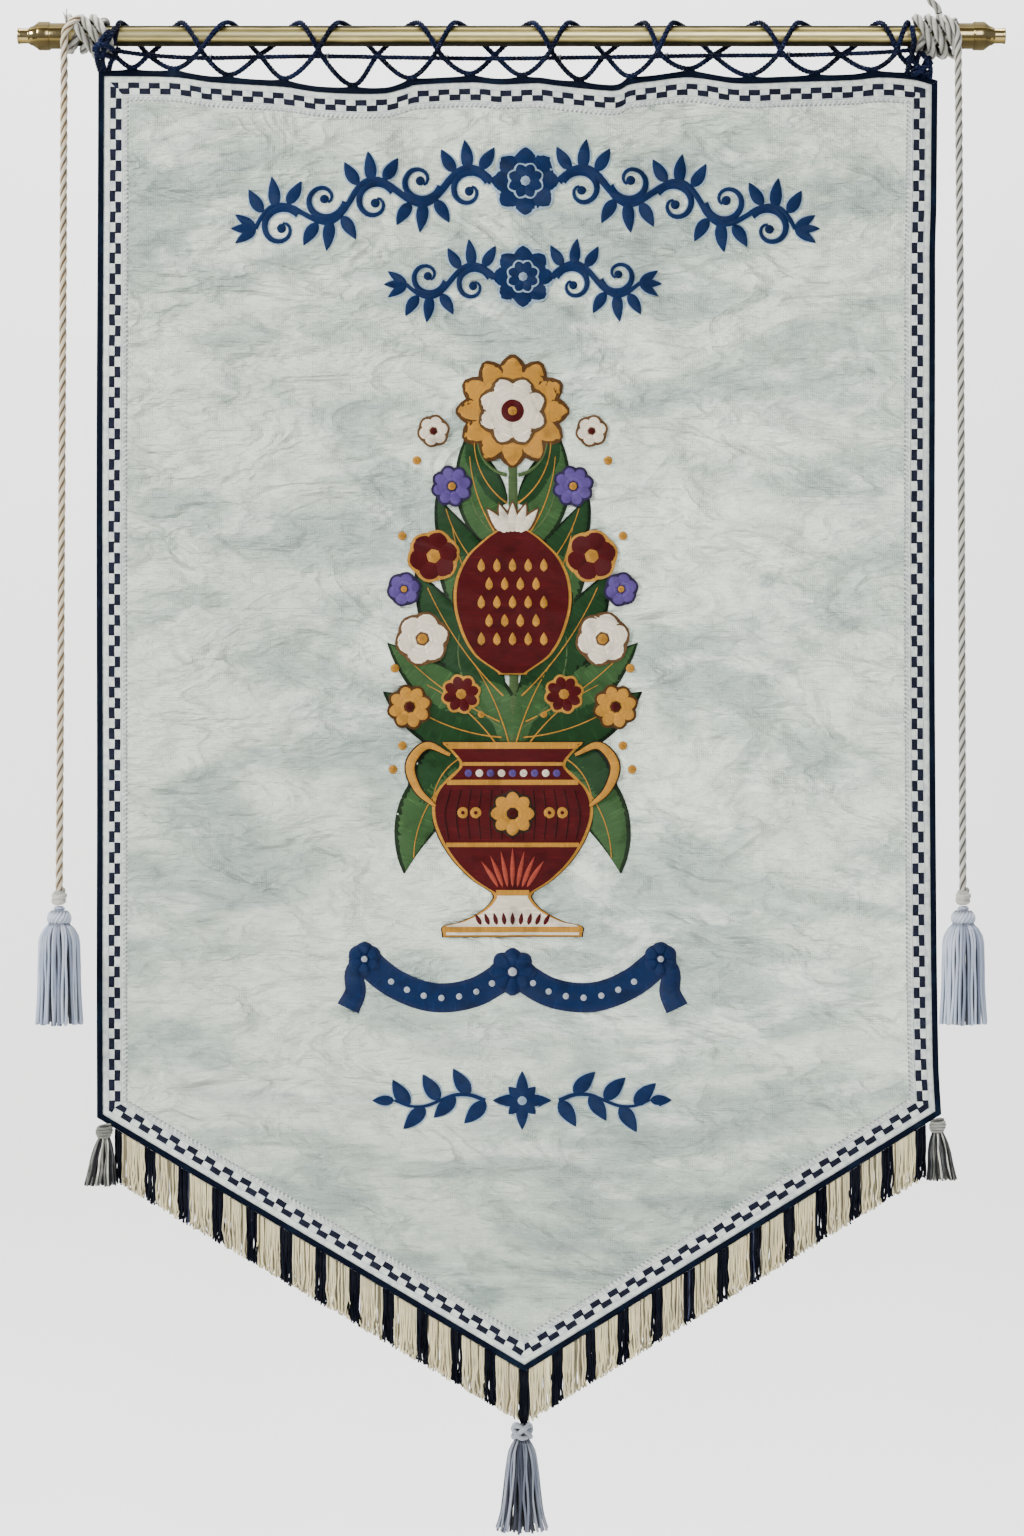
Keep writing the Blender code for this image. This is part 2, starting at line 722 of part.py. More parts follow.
def make_hitch(side):
    """The wound rope as one sleeve round the rod, ridged by its turns and by the turn that crosses them."""
    start, end, turns, _ = HITCHES[side]
    count = 2 * turns
    bm = bmesh.new()
    bore = ROD_R + GAP
    outside = [(start + (end - start) * i / count, bore + ROPE_R) for i in range(count + 1)]
    outline = [(start, bore), *outside, (end, bore), (start, bore)]
    turned(bm, [(x, 0, r) for x, r in outline], HITCH_SIDES, axis=(1, 0, 0))
    for vert in bm.verts:
        radius = math.hypot(vert.co.y, vert.co.z)
        if radius > bore + 1.0:
            angle = math.degrees(math.atan2(vert.co.z, -vert.co.y))
            wanted = hitch_radius(side, (vert.co.x - start) / (end - start), angle)
            vert.co.y *= wanted / radius
            vert.co.z *= wanted / radius
    add_mesh("rope_knot_" + side, bm, "rope")


def make_corner_tie(side):
    """A short bight of cord from the binding's top corner up to the hitch."""
    x = CORNER_TIES[side]
    start, end = HITCHES[side][:2]
    shares = [(x + shift - start) / (end - start) for shift in (-TIE_HALF, 0.0, TIE_HALF)]
    reach = max(hitch_radius(side, share, -90.0) for share in shares)
    crest = -(reach + GAP + LACING_R)
    feet = [eyelet(x + shift) for shift in (-TIE_HALF, TIE_HALF)]
    points = [feet[0]]
    for around in (0.0, math.pi / 4, math.pi / 2, math.pi * 3 / 4, math.pi):
        rise = crest - TIE_HALF * (1 - math.sin(around))
        points.append(Vector((x - TIE_HALF * math.cos(around), 0.0, rise)))
    points.append(feet[1])
    add_tube("corner_tie_" + side, points, LACING_R, "navy_cord")


def twisted_rope(name, route):
    """A three-strand rope: rings whose alternate points stand in the grooves, turning along the route."""
    points = smooth_route(route, ROPE_LAY / ROPE_STEPS)
    side = Vector((1, 0, 0))
    rings = []
    for i, point in enumerate(points):
        if i == 0:
            along = (route[1] - route[0]).normalized()
        elif i == len(points) - 1:
            along = (route[-1] - route[-2]).normalized()
        else:
            along = (points[i + 1] - points[i - 1]).normalized()
        side = (side - along * side.dot(along)).normalized()
        other = along.cross(side)
        ring = []
        for k in range(6):
            around = math.tau * (k / 6 + i / ROPE_STEPS)
            reach = ROPE_R if k % 2 == 0 else ROPE_R * ROPE_GROOVE
            ring.append(point + (side * math.cos(around) + other * math.sin(around)) * reach)
        rings.append(ring)
    bm = bmesh.new()
    skin(bm, rings)
    add_mesh(name, bm, "rope")


def make_rope(side):
    twisted_rope("rope_" + side, [Vector((x, ROPE_Y, z)) for x, z in ROPES[side]])


def make_turned_knot(name, profile, x, y):
    bm = bmesh.new()
    turned(bm, [(r, 0, z) for z, r in profile], KNOT_SIDES)
    bmesh.ops.translate(bm, vec=(x, y, 0), verts=bm.verts)
    add_mesh(name, bm, "rope")


def make_tassel(name, head, skirt, locks, finish_name, lean, depth=1.0):
    """A turned head with a skirt of locks that are fused at their roots and stand apart below.

    The lean is the (x, y) of the head's top and of the skirt's foot.
    """
    bm = bmesh.new()
    root_z, root_outer, root_inner = skirt[0]
    outline = [*head, (root_z, root_outer), (root_z, root_inner), (root_z, 0.0)]
    turned(bm, [(r, 0, z) for z, r in outline], locks)
    roots = [
        face
        for face in bm.faces
        if all(abs(v.co.z - root_z) < 0.01 for v in face.verts)
        and abs(min(math.hypot(*v.co.xy) for v in face.verts) - root_inner) < 0.01
    ]
    for (z, outer, inner), narrow in zip(skirt[1:], LOCK_NARROWING):
        roots = bmesh.ops.extrude_discrete_faces(bm, faces=roots)["faces"]
        for face in roots:
            middle = face.calc_center_median()
            heading = math.atan2(middle.y, middle.x)
            split = sum(math.hypot(*v.co.xy) for v in face.verts) / 4
            for vert in face.verts:
                off = (math.atan2(vert.co.y, vert.co.x) - heading + math.pi) % math.tau - math.pi
                around = heading + off * narrow
                radius = outer if math.hypot(*vert.co.xy) > split else inner
                vert.co = (radius * math.cos(around), radius * math.sin(around), z)
    top_z, foot_z = head[0][0], skirt[-1][0]
    start, end = lean
    for vert in bm.verts:
        share = (top_z - vert.co.z) / (top_z - foot_z)
        vert.co.y *= depth
        vert.co.x += start[0] + (end[0] - start[0]) * share
        vert.co.y += start[1] + (end[1] - start[1]) * share
    add_mesh(name, bm, finish_name)


def make_corner_tassel(side):
    head_x, foot_x, head_r, skirt_r, top = CORNER_TASSELS[side]
    head = [(top - drop, head_r * share) for drop, share in CORNER_HEAD]
    skirt = [(top - drop, head_r * share, inner) for drop, share, inner in CORNER_SKIRT]
    skirt.append((top - CORNER_FOOT[0], skirt_r, CORNER_FOOT[1]))
    lean = ((head_x, CORNER_LEAN_Y[0]), (foot_x, CORNER_LEAN_Y[1]))
    make_tassel("corner_tassel_" + side, head, skirt, CORNER_LOCKS, "grey", lean, CORNER_DEPTH)


def block_edges(length):
    """Distances along a slope, from the point out, between the fringe's locks."""
    edges = [0.0]
    navy = True
    block = NAVY_BLOCK / 2
    locks = NAVY_LOCKS // 2
    while edges[-1] < length - 1.0:
        block = min(block, length - edges[-1])
        edges += [edges[-1] + block * (i + 1) / locks for i in range(locks)]
        navy = not navy
        block, locks = (NAVY_BLOCK, NAVY_LOCKS) if navy else (CREAM_BLOCK, CREAM_LOCKS)
    return edges


def make_fringe(side):
    """Locks extruded from the underside of a narrow heading that lies under the binding's slope."""
    end_x = FRINGE_ENDS[side]
    corner = LEFT_CORNER if side == "left" else RIGHT_CORNER
    sign = -1 if side == "left" else 1
    fall = (corner.z - POINT.z) / abs(corner.x - POINT.x)
    below = (GAP + FRINGE_HEADING) / math.cos(SLOPE)
    edges = block_edges(abs(end_x - POINT.x) - GAP)
    bm = bmesh.new()
    start = POINT.x + sign * GAP

    def lower(distance):
        return Vector((start + sign * distance, 0.0, POINT.z + fall * (distance + GAP) - below))

    front = bm.verts.new(lower(0.0) + Vector((0, -FRINGE_HALF, 0)))
    back = bm.verts.new(lower(0.0) + Vector((0, FRINGE_HALF, 0)))
    edge = bm.edges.new((front, back))
    for distance, previous in zip(edges[1:], edges):
        made = bmesh.ops.extrude_edge_only(bm, edges=[edge])["geom"]
        edge = next(
            item
            for item in made
            if isinstance(item, bmesh.types.BMEdge) and all(v in made for v in item.verts)
        )
        bmesh.ops.translate(bm, vec=lower(distance) - lower(previous), verts=edge.verts)
    roots = bm.faces[:]
    made = bmesh.ops.extrude_face_region(bm, geom=roots, use_keep_orig=True)["geom"]
    raised = [item for item in made if isinstance(item, bmesh.types.BMVert)]
    bmesh.ops.translate(bm, vec=(0, 0, FRINGE_HEADING / math.cos(SLOPE)), verts=raised)
    locks = bmesh.ops.extrude_discrete_faces(bm, faces=roots)["faces"]
    drop = FRINGE_DROP - below
    for index, face in enumerate(locks):
        middle = face.calc_center_median()
        uneven = LOCK_UNEVEN * math.sin(index * 2.4) * math.sin(index * 0.7)
        for vert in face.verts:
            vert.co.x = middle.x + (vert.co.x - middle.x) * LOCK_TAPER
            vert.co.y *= LOCK_SPREAD
            vert.co.z += uneven - drop
    add_mesh("fringe_" + side, bm, "fringe")


def main():
    clear_scene()
    make_rod()
    make_panel()
    for strip in STRIPS:
        make_braid(strip)
        make_binding(strip)
    make_lacing()
    make_header_cord()
    for side, x in TASSEL_X.items():
        make_finial(side)
        make_hitch(side)
        make_corner_tie(side)
        make_rope(side)
        make_turned_knot("slip_knot_" + side, SLIP_KNOT, x, ROPE_Y)
        place = (x, ROPE_Y)
        make_tassel("tassel_" + side, SIDE_HEAD, SIDE_SKIRT, SIDE_LOCKS, "lavender", (place, place))
        make_fringe(side)
        make_corner_tassel(side)
    twisted_rope("sling_rope", [Vector((x, 0, z)) for x, z in SLING_ROPE])
    make_turned_knot("sling_knot", SLING_KNOT, SLING_X, 0.0)
    twisted_rope("sling_loop", [Vector((x, 0, z)) for x, z in SLING_LOOP])
    hanger = [Vector((POINT_X, POINT_Y, z)) for z in HANGER_Z]
    add_tube("point_hanger", hanger, HANGER_R, "navy_cord")
    place = (POINT_X, POINT_Y)
    make_tassel("point_tassel", POINT_HEAD, POINT_SKIRT, POINT_LOCKS, "grey", (place, place))


main()
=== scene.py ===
"""The looks of a fringed silk banner that is laced to a brass rod.

Lengths are in metres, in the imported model's frame: the origin is on the rod's axis at mid length, +X runs
to the viewer's right, +Z is up and the banner's face looks to -Y.
"""

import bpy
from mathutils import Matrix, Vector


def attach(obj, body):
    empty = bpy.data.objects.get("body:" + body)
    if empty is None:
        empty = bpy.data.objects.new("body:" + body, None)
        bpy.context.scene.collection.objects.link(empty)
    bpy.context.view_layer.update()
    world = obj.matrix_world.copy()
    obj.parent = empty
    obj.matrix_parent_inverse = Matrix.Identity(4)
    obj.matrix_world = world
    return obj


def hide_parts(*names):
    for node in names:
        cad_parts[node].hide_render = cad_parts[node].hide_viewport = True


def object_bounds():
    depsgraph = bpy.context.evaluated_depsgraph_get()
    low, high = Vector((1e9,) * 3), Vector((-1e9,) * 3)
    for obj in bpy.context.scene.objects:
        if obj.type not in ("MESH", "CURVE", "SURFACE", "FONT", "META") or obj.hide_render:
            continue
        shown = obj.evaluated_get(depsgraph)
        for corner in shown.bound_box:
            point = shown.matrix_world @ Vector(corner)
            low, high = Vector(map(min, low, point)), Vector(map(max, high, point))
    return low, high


bl_info = {
    "name": "Fringed banner",
    "version": (1, 0, 0),
    "blender": (4, 5, 0),
    "location": "View3D > Sidebar > Banner",
    "description": "Builds a fringed silk banner that hangs from a brass rod",
    "category": "Object",
}

import math
import random

import bmesh
import bpy
from mathutils import Vector, noise

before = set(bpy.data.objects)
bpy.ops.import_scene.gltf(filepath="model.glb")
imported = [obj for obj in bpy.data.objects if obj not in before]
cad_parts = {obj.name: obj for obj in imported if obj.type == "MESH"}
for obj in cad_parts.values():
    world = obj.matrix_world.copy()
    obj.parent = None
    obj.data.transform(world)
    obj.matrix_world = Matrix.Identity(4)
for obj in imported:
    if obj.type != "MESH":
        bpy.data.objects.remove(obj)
CAD_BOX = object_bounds()

# Panel outline, to the outer edge of its binding
TOP_EDGE = (  # x, z
    (-0.4499, -0.0370),
    (-0.3672, -0.0382),
    (-0.3269, -0.0437),
    (-0.2475, -0.0493),
    (-0.2062, -0.0555),
    (-0.1398, -0.0566),
    (-0.1159, -0.0507),
    (-0.1050, -0.0468),
    (-0.0441, -0.0437),
    (-0.0125, -0.0462),
    (0.0288, -0.0452),
    (0.0495, -0.0479),
    (0.1028, -0.0535),
    (0.1170, -0.0528),
    (0.1278, -0.0468),
    (0.1540, -0.0424),
    (0.1942, -0.0381),
    (0.2464, -0.0455),
    (0.3052, -0.0437),
    (0.3716, -0.0412),
    (0.4020, -0.0384),
    (0.4379, -0.0412),
    (0.4638, -0.0484),
)
LEFT_EDGE = ((-1.1768, -0.4512), (-0.9400, -0.4516), (-0.2440, -0.4510), (-0.0370, -0.4499))  # z, x
RIGHT_EDGE = (  # z, x
    (-1.1733, 0.4677),
    (-1.1140, 0.4646),
    (-0.8965, 0.4617),
    (-0.2437, 0.4608),
    (-0.1784, 0.4625),
    (-0.0480, 0.4638),
)
LEFT_CORNER = Vector((-0.4512, 0.0, -1.1768))
RIGHT_CORNER = Vector((0.4677, 0.0, -1.1733))
POINT = Vector((0.0140, 0.0, -1.4533))
SLOPE = math.radians(31.2)
FOLDS = (  # x, half width, depth towards the viewer, reach down
    (-0.405, 0.045, -0.003, 0.260),
    (-0.178, 0.064, 0.008, 0.300),
    (-0.072, 0.044, -0.005, 0.220),
    (0.044, 0.030, 0.003, 0.160),
    (0.099, 0.038, 0.007, 0.260),
    (0.190, 0.044, -0.006, 0.240),
    (0.258, 0.040, 0.005, 0.220),
    (0.400, 0.050, -0.004, 0.280),
)
EDGE_HOLD = 0.45
FOLD_GROWTH = 0.070
SIDE_CURL = 0.0035
SIDE_CURL_WIDTH = 0.060
SIDE_CURL_PERIOD = 0.690
SIDE_CURL_GROWTH = 0.150
SIDE_CURL_END = -1.130
SIDE_CURL_FADE = 0.250
SIDE_CURL_PHASES = ((LEFT_CORNER.x, 0.6), (RIGHT_CORNER.x, 2.4))
CREASES = (  # ends x, z, x, z, half width, depth
    (0.095, -0.085, 0.175, -0.225, 0.010, 0.0016),
    (0.150, -0.090, 0.235, -0.190, 0.009, -0.0014),
    (0.118, -0.120, 0.140, -0.330, 0.014, 0.0012),
    (0.235, -0.110, 0.160, -0.240, 0.010, 0.0012),
    (-0.160, -0.100, -0.130, -0.190, 0.012, 0.0012),
    (-0.330, -0.110, -0.290, -0.135, 0.008, 0.0012),
    (-0.400, -0.965, -0.360, -1.030, 0.010, 0.0018),
    (0.300, -0.080, 0.390, -0.130, 0.010, 0.0012),
    (-0.410, -1.060, -0.370, -1.085, 0.007, 0.0012),
    (0.290, -0.620, 0.400, -0.660, 0.012, 0.0012),
    (0.310, -0.860, 0.410, -0.880, 0.010, -0.0012),
    (-0.400, -0.560, -0.290, -0.580, 0.012, 0.0012),
)
CREASE_STRENGTH = 1.7  # share of the creases' depths that shows
CREASE_RUN_OUT = 0.3  # how far a crease fades out past each end, as a share of its length
SOFT_WAVES = 0.0020  # height of the silk's shallow waves
CRUMPLE = 0.0120  # height of its crumples
FLAT_RIM = 0.034  # width of the silk's rim under the braid, which lies flat
RIM_FADE = 0.050
CLOTH_EDGE = 0.0011  # how far the silk ends inside the binding's outer edge
TOP_LINE = -0.045  # z at which the sides' outline meets the top edge

# Rod and hitches
ROD_HALF = 0.5372
ROD_R = 0.0111
ROD_BORE_R = 0.0099
TUBE_HALF = 0.4997
FINIAL_CORE = (0.0372, 0.0114)  # depth and radius of the plug in the tube
# First turn's x, pitch, turns and lean of the inner layer, the same of the outer one, first angle
HITCHES = {
    "left": (-0.4742, 0.0140, 2.25, 0.0085, -0.0133, 2.70, -0.0120, 200.0),
    "right": (0.4740, -0.0115, 2.50, 0.0110, 0.0128, 2.81, -0.0120, -20.0),
}
HITCH_ROPE_R = 0.0047
HITCH_LAY = 0.046
HITCH_RADIUS = 0.0155
HITCH_OUTER = 0.0203
WISP_ROOT = Vector((-0.4836, -0.0130, 0.0125))
WISP_HAIRS = ((0.0010, 0.0150), (-0.0026, 0.0110), (0.0046, 0.0085), (-0.0004, 0.0060))  # lean, height
ROPE_R = 0.00435
ROPE_LAY = 0.0402
ROPE_Y = -0.01797
BEAD_Z = -0.9365
BEAD_CORE = (  # z, radius
    (-0.9450, 0.0),
    (-0.9445, 0.0040),
    (-0.9405, 0.0070),
    (-0.9330, 0.0070),
    (-0.9292, 0.0040),
    (-0.9287, 0.0),
)

# Free ropes: the solids' routes, x, z; rope_start gives the bend on the hitch that comes before them
SIDE_ROPES = {
    "left": ((-0.4844, -0.0200), (-0.4846, -0.0450), (-0.4856, -0.2430), (-0.4899, -0.9400)),
    "right": ((0.4836, -0.0200), (0.4839, -0.0450), (0.4857, -0.2437), (0.4888, -0.9400)),
}
TASSEL_X = {"left": -0.4899, "right": 0.4892}
SLING = (  # x, z
    (0.4652, 0.0244),
    (0.4650, 0.0268),
    (0.4608, 0.0330),
    (0.4560, 0.0389),
    (0.4536, 0.0450),
    (0.4510, 0.0550),
    (0.4489, 0.0631),
    (0.4489, 0.0670),
    (0.4476, 0.0725),
    (0.4396, 0.0805),
    (0.4342, 0.0920),
    (0.4406, 0.1040),
    (0.4542, 0.1095),
    (0.4678, 0.1040),
    (0.4742, 0.0920),
    (0.4688, 0.0805),
    (0.4608, 0.0725),
    (0.4595, 0.0670),
    (0.4595, 0.0631),
    (0.4580, 0.0570),
)
SLING_KNOT = (0.4542, 0.0530)  # x, z of its middle

# Lacing, along x: bend at the banner's edge, crossing in front, crest over the rod, way out under the rod
LACING_R = 0.0031
HEADER_R = 0.0028
LASHING_R = 0.0033
WRAP_R = ROD_R + 0.0003 + LACING_R
WRAP_ANGLES = (-20.0, 17.0, 54.0, 90.0, 127.0, 164.0, 200.0)
FRONT_LEAN = 0.3
LACING_A = (
    (-0.3661, -0.3367, -0.3063, -0.2867),
    (-0.2475, -0.2094, -0.1855, -0.1583),
    (-0.1104, -0.0800, -0.0593, -0.0321),
    (0.0114, 0.0430, 0.0647, 0.0898),
    (0.1278, 0.1594, 0.1779, 0.2067),
    (0.2606, 0.2921, 0.3139, 0.3454),
    (0.3933, 0.4183, 0.4316, 0.4340),
)
LACING_A_TAIL = (-0.4316, -0.0146, -0.0125)
LACING_A_START = (-0.4300, -0.4249, -0.4075)
LACING_A_END = 0.4445
LACING_B = (
    (0.4379, 0.4183, 0.3988, 0.3781),
    (0.3302, 0.2921, 0.2671, 0.2399),
    (0.1942, 0.1594, 0.1431, 0.1180),
    (0.0745, 0.0430, 0.0212, -0.0049),
    (-0.0441, -0.0800, -0.1050, -0.1333),
    (-0.1714, -0.2094, -0.2323, -0.2573),
    (-0.3084, -0.3367, -0.3607, -0.3813),
)
LACING_B_LAST = -0.4129
LACING_B_END = (-0.4322, -0.0080, -0.0220)
BACK_CROSSINGS = (-0.3950, -0.2743, -0.1455, -0.0177, 0.1027, 0.2209, 0.3600)
FRONT_Y = {"a": -0.0156, "b": -0.0106}
BACK_Y = {"a": 0.0118, "b": 0.0068}
FRONT_CROSSING_Z = -0.0178
BACK_CROSSING_Z = -0.0190
HEADER_FOLLOW = 0.5
HEADER_CORD = (  # x, z
    (-0.4342, -0.0150),
    (-0.4240, -0.0168),
    (-0.3476, -0.0236),
    (-0.2812, -0.0230),
    (-0.2300, -0.0223),
    (-0.1050, -0.0236),
    (-0.0350, -0.0244),
    (0.0840, -0.0236),
    (0.2050, -0.0213),
    (0.3380, -0.0201),
    (0.4096, -0.0171),
    (0.4396, -0.0148),
)
CORNER_TIES = {  # points x, y, z of each cord, in mm from x 440 on its own side, from the binding up
    "left": (
        ((7.8, -0.5, -37.6), (9.2, -15, -28.5), (6.2, -26.8, -15), (0, -28.2, -6), (-5, -21.5, 1)),
        ((2.5, -0.5, -38), (3.8, -12, -30), (-0.2, -25.5, -17.5), (-6.5, -26.2, -5), (-11, -17, 6)),
        ((12, -20, -19), (5.5, -30, -15), (-3, -28.5, -16.5), (-9.5, -18, -20)),
        ((10.5, -12, -27), (4, -20.5, -23.5), (-4, -19, -25), (-10, -10, -27)),
        ((-1.5, 0, -38), (-5, -8, -30), (-11, -12, -21), (-13.8, -12.5, -15)),
    ),
    "right": (
        ((-10, -1, -41), (-9, -9, -33), (-6.5, -20, -23.5), (-5, -27.5, -12), (-7, -24, 6)),
        ((-5, -1, -42), (-1.5, -8, -35), (0, -15, -27), (3, -20, -21)),
        ((15, -1, -46.5), (14.5, -9, -37), (10, -16, -28.5), (4, -19, -22.5)),
        ((-11, -12, -26), (-5, -15, -30), (3, -12, -37), (13, -7, -43)),
        ((16, -10, -30), (10, -13, -35), (2, -11, -41), (-4, -6, -43)),
        ((8, -1, -45), (7, -6, -38), (9, -10, -31), (14, -13, -25)),
    ),
}
NAVY_LAY = 0.0135
NAVY_STEP = 0.0014  # spacing of the points along a navy cord
HAIR_STEP = 0.0008  # the same along a thread or a hair

# Fringe
FRINGE_DROP = 0.0555
FRINGE_ENDS = {"left": -0.4317, "right": 0.4509}
CREAM_BLOCK = 0.0246
NAVY_BLOCK = 0.0124
BLOCK_SHARE = {"left": 1.0, "right": 0.9705}  # of the two widths above, on each slope
THREAD_R = 0.00098
THREAD_PITCH = 0.00175
THREAD_LAYERS = ((-0.0014, 1.20), (0.0006, 0.50), (0.0022, 0.62))  # y, how bright the layer is painted, lighter at the front and darker behind as painted shade, front to back
THREADS_PAST_POINT = 2
MISSING_THREADS = 0.16  # share of the front layer
PAINTED_HIGHLIGHT_SHARE = 0.03  # share of the navy threads that are painted pale, as painted highlights

# Tassels
SIDE_HEAD = (  # z, radius
    (-0.9458, 0.0),
    (-0.9459, 0.0046),
    (-0.9480, 0.0053),
    (-0.9502, 0.0050),
    (-0.9520, 0.0070),
    (-0.9550, 0.0090),
    (-0.9620, 0.0098),
    (-0.9665, 0.0100),
    (-0.9668, 0.0),
)
SIDE_HEAD_MIDDLE = -0.9590
SIDE_COLLAR_Z = -0.9486
SIDE_SKIRT_TOP = -0.9660
SIDE_SKIRT = (  # drop, radius
    (0.0, 0.0120),
    (0.005, 0.0172),
    (0.012, 0.0212),
    (0.035, 0.0232),
    (0.070, 0.0240),
    (0.109, 0.0263),
)
SIDE_RIDGES = 17
SIDE_TINTS = (
    (1.22, 1.22, 1.19),
    (1.02, 1.02, 1.03),
    (0.80, 0.82, 0.87),
    (1.12, 1.12, 1.14),
    (0.50, 0.52, 0.58),
)
CORNER_TASSELS = {  # x at the head, x at the foot, head radius, skirt radius, top z
    "left": (-0.4427, -0.4462, 0.0095, 0.0176, -1.1836),
    "right": (0.4631, 0.4666, 0.0092, 0.0168, -1.1776),
}
CORNER_LEAN_Y = (-0.0032, -0.0125)
CORNER_TINTS = (
    (3.2, 3.15, 2.9),
    (0.12, 0.12, 0.14),
    (0.45, 0.46, 0.50),
    (0.08, 0.08, 0.10),
    (0.9, 0.9, 0.85),
)
POINT_TASSEL = (0.0114, 0.0042)  # x, y
POINT_KNOT_Z = -1.5185
POINT_SKIRT_TOP = -1.5275
POINT_SKIRT = (  # drop, radius
    (0.0, 0.0080),
    (0.010, 0.0140),
    (0.030, 0.0180),
    (0.060, 0.0215),
    (0.085, 0.0250),
    (0.0985, 0.0292),
)
POINT_TINTS = (
    (1.4, 1.4, 1.4),
    (0.24, 0.25, 0.31),
    (0.6, 0.62, 0.7),
    (0.95, 0.97, 1.05),
    (0.14, 0.15, 0.19),
)
HANGER_Z = (-1.446, -1.470, -1.495, -1.5105)

# Embroidery
STITCH_LIFT = 0.0012  # from the silk's middle to the edges of the embroidered shapes
OVER_URN = 0.0037  # how far the patterns on the urn and on the fruit stand over its silk
MOTIF_X = 0.0011
MOTIF_FOOT = -0.978
STAR = (0.0115, -1.158)  # x, z


# Colours and sizes that a user would change


def colour_choice(what, default):
    """The colour of the named part, which the user can pick."""
    name, description = what.capitalize(), "Colour of the " + what
    return bpy.props.FloatVectorProperty(
        name=name, description=description, subtype="COLOR", size=3, min=0.0, max=1.0, default=default
    )


def length_choice(name, description, default):
    """A length that the user can change."""
    return bpy.props.FloatProperty(
        name=name, description=description, unit="LENGTH", subtype="DISTANCE", min=0.0, default=default
    )


class ClothSettings(bpy.types.PropertyGroup):
    silk: colour_choice("silk", (0.715, 0.790, 0.655))
    silk_shade: colour_choice("silk's darker patches", (0.365, 0.450, 0.395))
    silk_pale: colour_choice("silk's pale patches", (0.800, 0.860, 0.745))
    braid: colour_choice("braid's ground", (0.720, 0.770, 0.705))
    checks: colour_choice("braid's checks", (0.006, 0.007, 0.016))
    binding: colour_choice("edge binding", (0.0012, 0.0032, 0.0105))
    thickness: length_choice("Cloth thickness", "Thickness of the silk with its backing", 0.0014)
    check_length: length_choice("Check length", "Length of one check of the braid", 0.01125)


class CordSettings(bpy.types.PropertyGroup):
    rope: colour_choice("side ropes", (0.700, 0.610, 0.440))
    hitch: colour_choice("rope hitches", (0.560, 0.545, 0.485))
    navy: colour_choice("lacing", (0.0026, 0.0040, 0.0120))
    # Painted glints: pale flecks that stand in for highlights on the lacing.
    painted_glint: colour_choice("pale flecks in the lacing", (0.240, 0.260, 0.330))
    lay: length_choice("Rope lay", "Length of one full turn of the side ropes' strands", ROPE_LAY)


class FringeSettings(bpy.types.PropertyGroup):
    cream: colour_choice("fringe's pale blocks", (0.820, 0.745, 0.470))
    navy: colour_choice("fringe's dark blocks", (0.0035, 0.0045, 0.010))
    lavender: colour_choice("side tassels", (0.480, 0.550, 0.690))
    grey: colour_choice("corner tassels", (0.105, 0.108, 0.102))
    point: colour_choice("point's tassel", (0.215, 0.240, 0.295))
    drop: length_choice("Fringe drop", "Depth of the fringe below the binding", FRINGE_DROP)


class MotifSettings(bpy.types.PropertyGroup):
    blue: colour_choice("blue sprays", (0.0030, 0.0155, 0.062))
    outline: colour_choice("thin line round the blue shapes", (0.270, 0.370, 0.470))
    green: colour_choice("leaves", (0.010, 0.038, 0.011))
    red: colour_choice("urn and the red flowers", (0.060, 0.0030, 0.0042))
    gold: colour_choice("gold thread", (0.440, 0.205, 0.028))
    cream: colour_choice("pale flowers", (0.760, 0.680, 0.530))
    purple: colour_choice("small flowers", (0.085, 0.055, 0.210))
    padding: length_choice("Padding", "Height of the padded stitches", 0.0011)


class StageSettings(bpy.types.PropertyGroup):
    distance: length_choice("Camera distance", "From the camera to the rod's plane", 3.946)
    key: bpy.props.FloatProperty(
        name="Key light", description="Power of the key light", unit="POWER", min=0.0, default=178.0
    )
    front: bpy.props.FloatProperty(
        name="Front light", description="Power of the soft front light", unit="POWER", min=0.0, default=100.0
    )


# Finishes


class Wire:
    """A shader socket that adds Math nodes when it stands in a sum."""

    def __init__(self, looks, socket):
        self.looks = looks
        self.socket = socket

    def math(self, operation, *values):
        inputs = dict(enumerate(values))
        return self.looks.node("Math", {"operation": operation}, inputs)

    def __add__(self, other):
        return self.math("ADD", self, other)

    def __radd__(self, other):
        return self.math("ADD", other, self)

    def __sub__(self, other):
        return self.math("SUBTRACT", self, other)

    def __rsub__(self, other):
        return self.math("SUBTRACT", other, self)

    def __mul__(self, other):
        return self.math("MULTIPLY", self, other)

    def __truediv__(self, other):
        return self.math("DIVIDE", self, other)

    def __abs__(self):
        return self.math("ABSOLUTE", self)

    def sine(self):
        return self.math("SINE", self)

    def fraction(self):
        return self.math("FRACT", self)

    def above(self, level):
        return self.math("GREATER_THAN", self, level)

    def larger(self, other):
        return self.math("MAXIMUM", self, other)

    def fade(self, start, end):
        """0 at start and 1 at end, smooth between."""
        settings = {"interpolation_type": "SMOOTHSTEP"}
        return self.looks.node("MapRange", settings, {"Value": self, "From Min": start, "From Max": end})

    def part(self, axis):
        """One coordinate, 0 to 2."""
        return self.looks.node("SeparateXYZ", {}, {0: self}, output=axis)


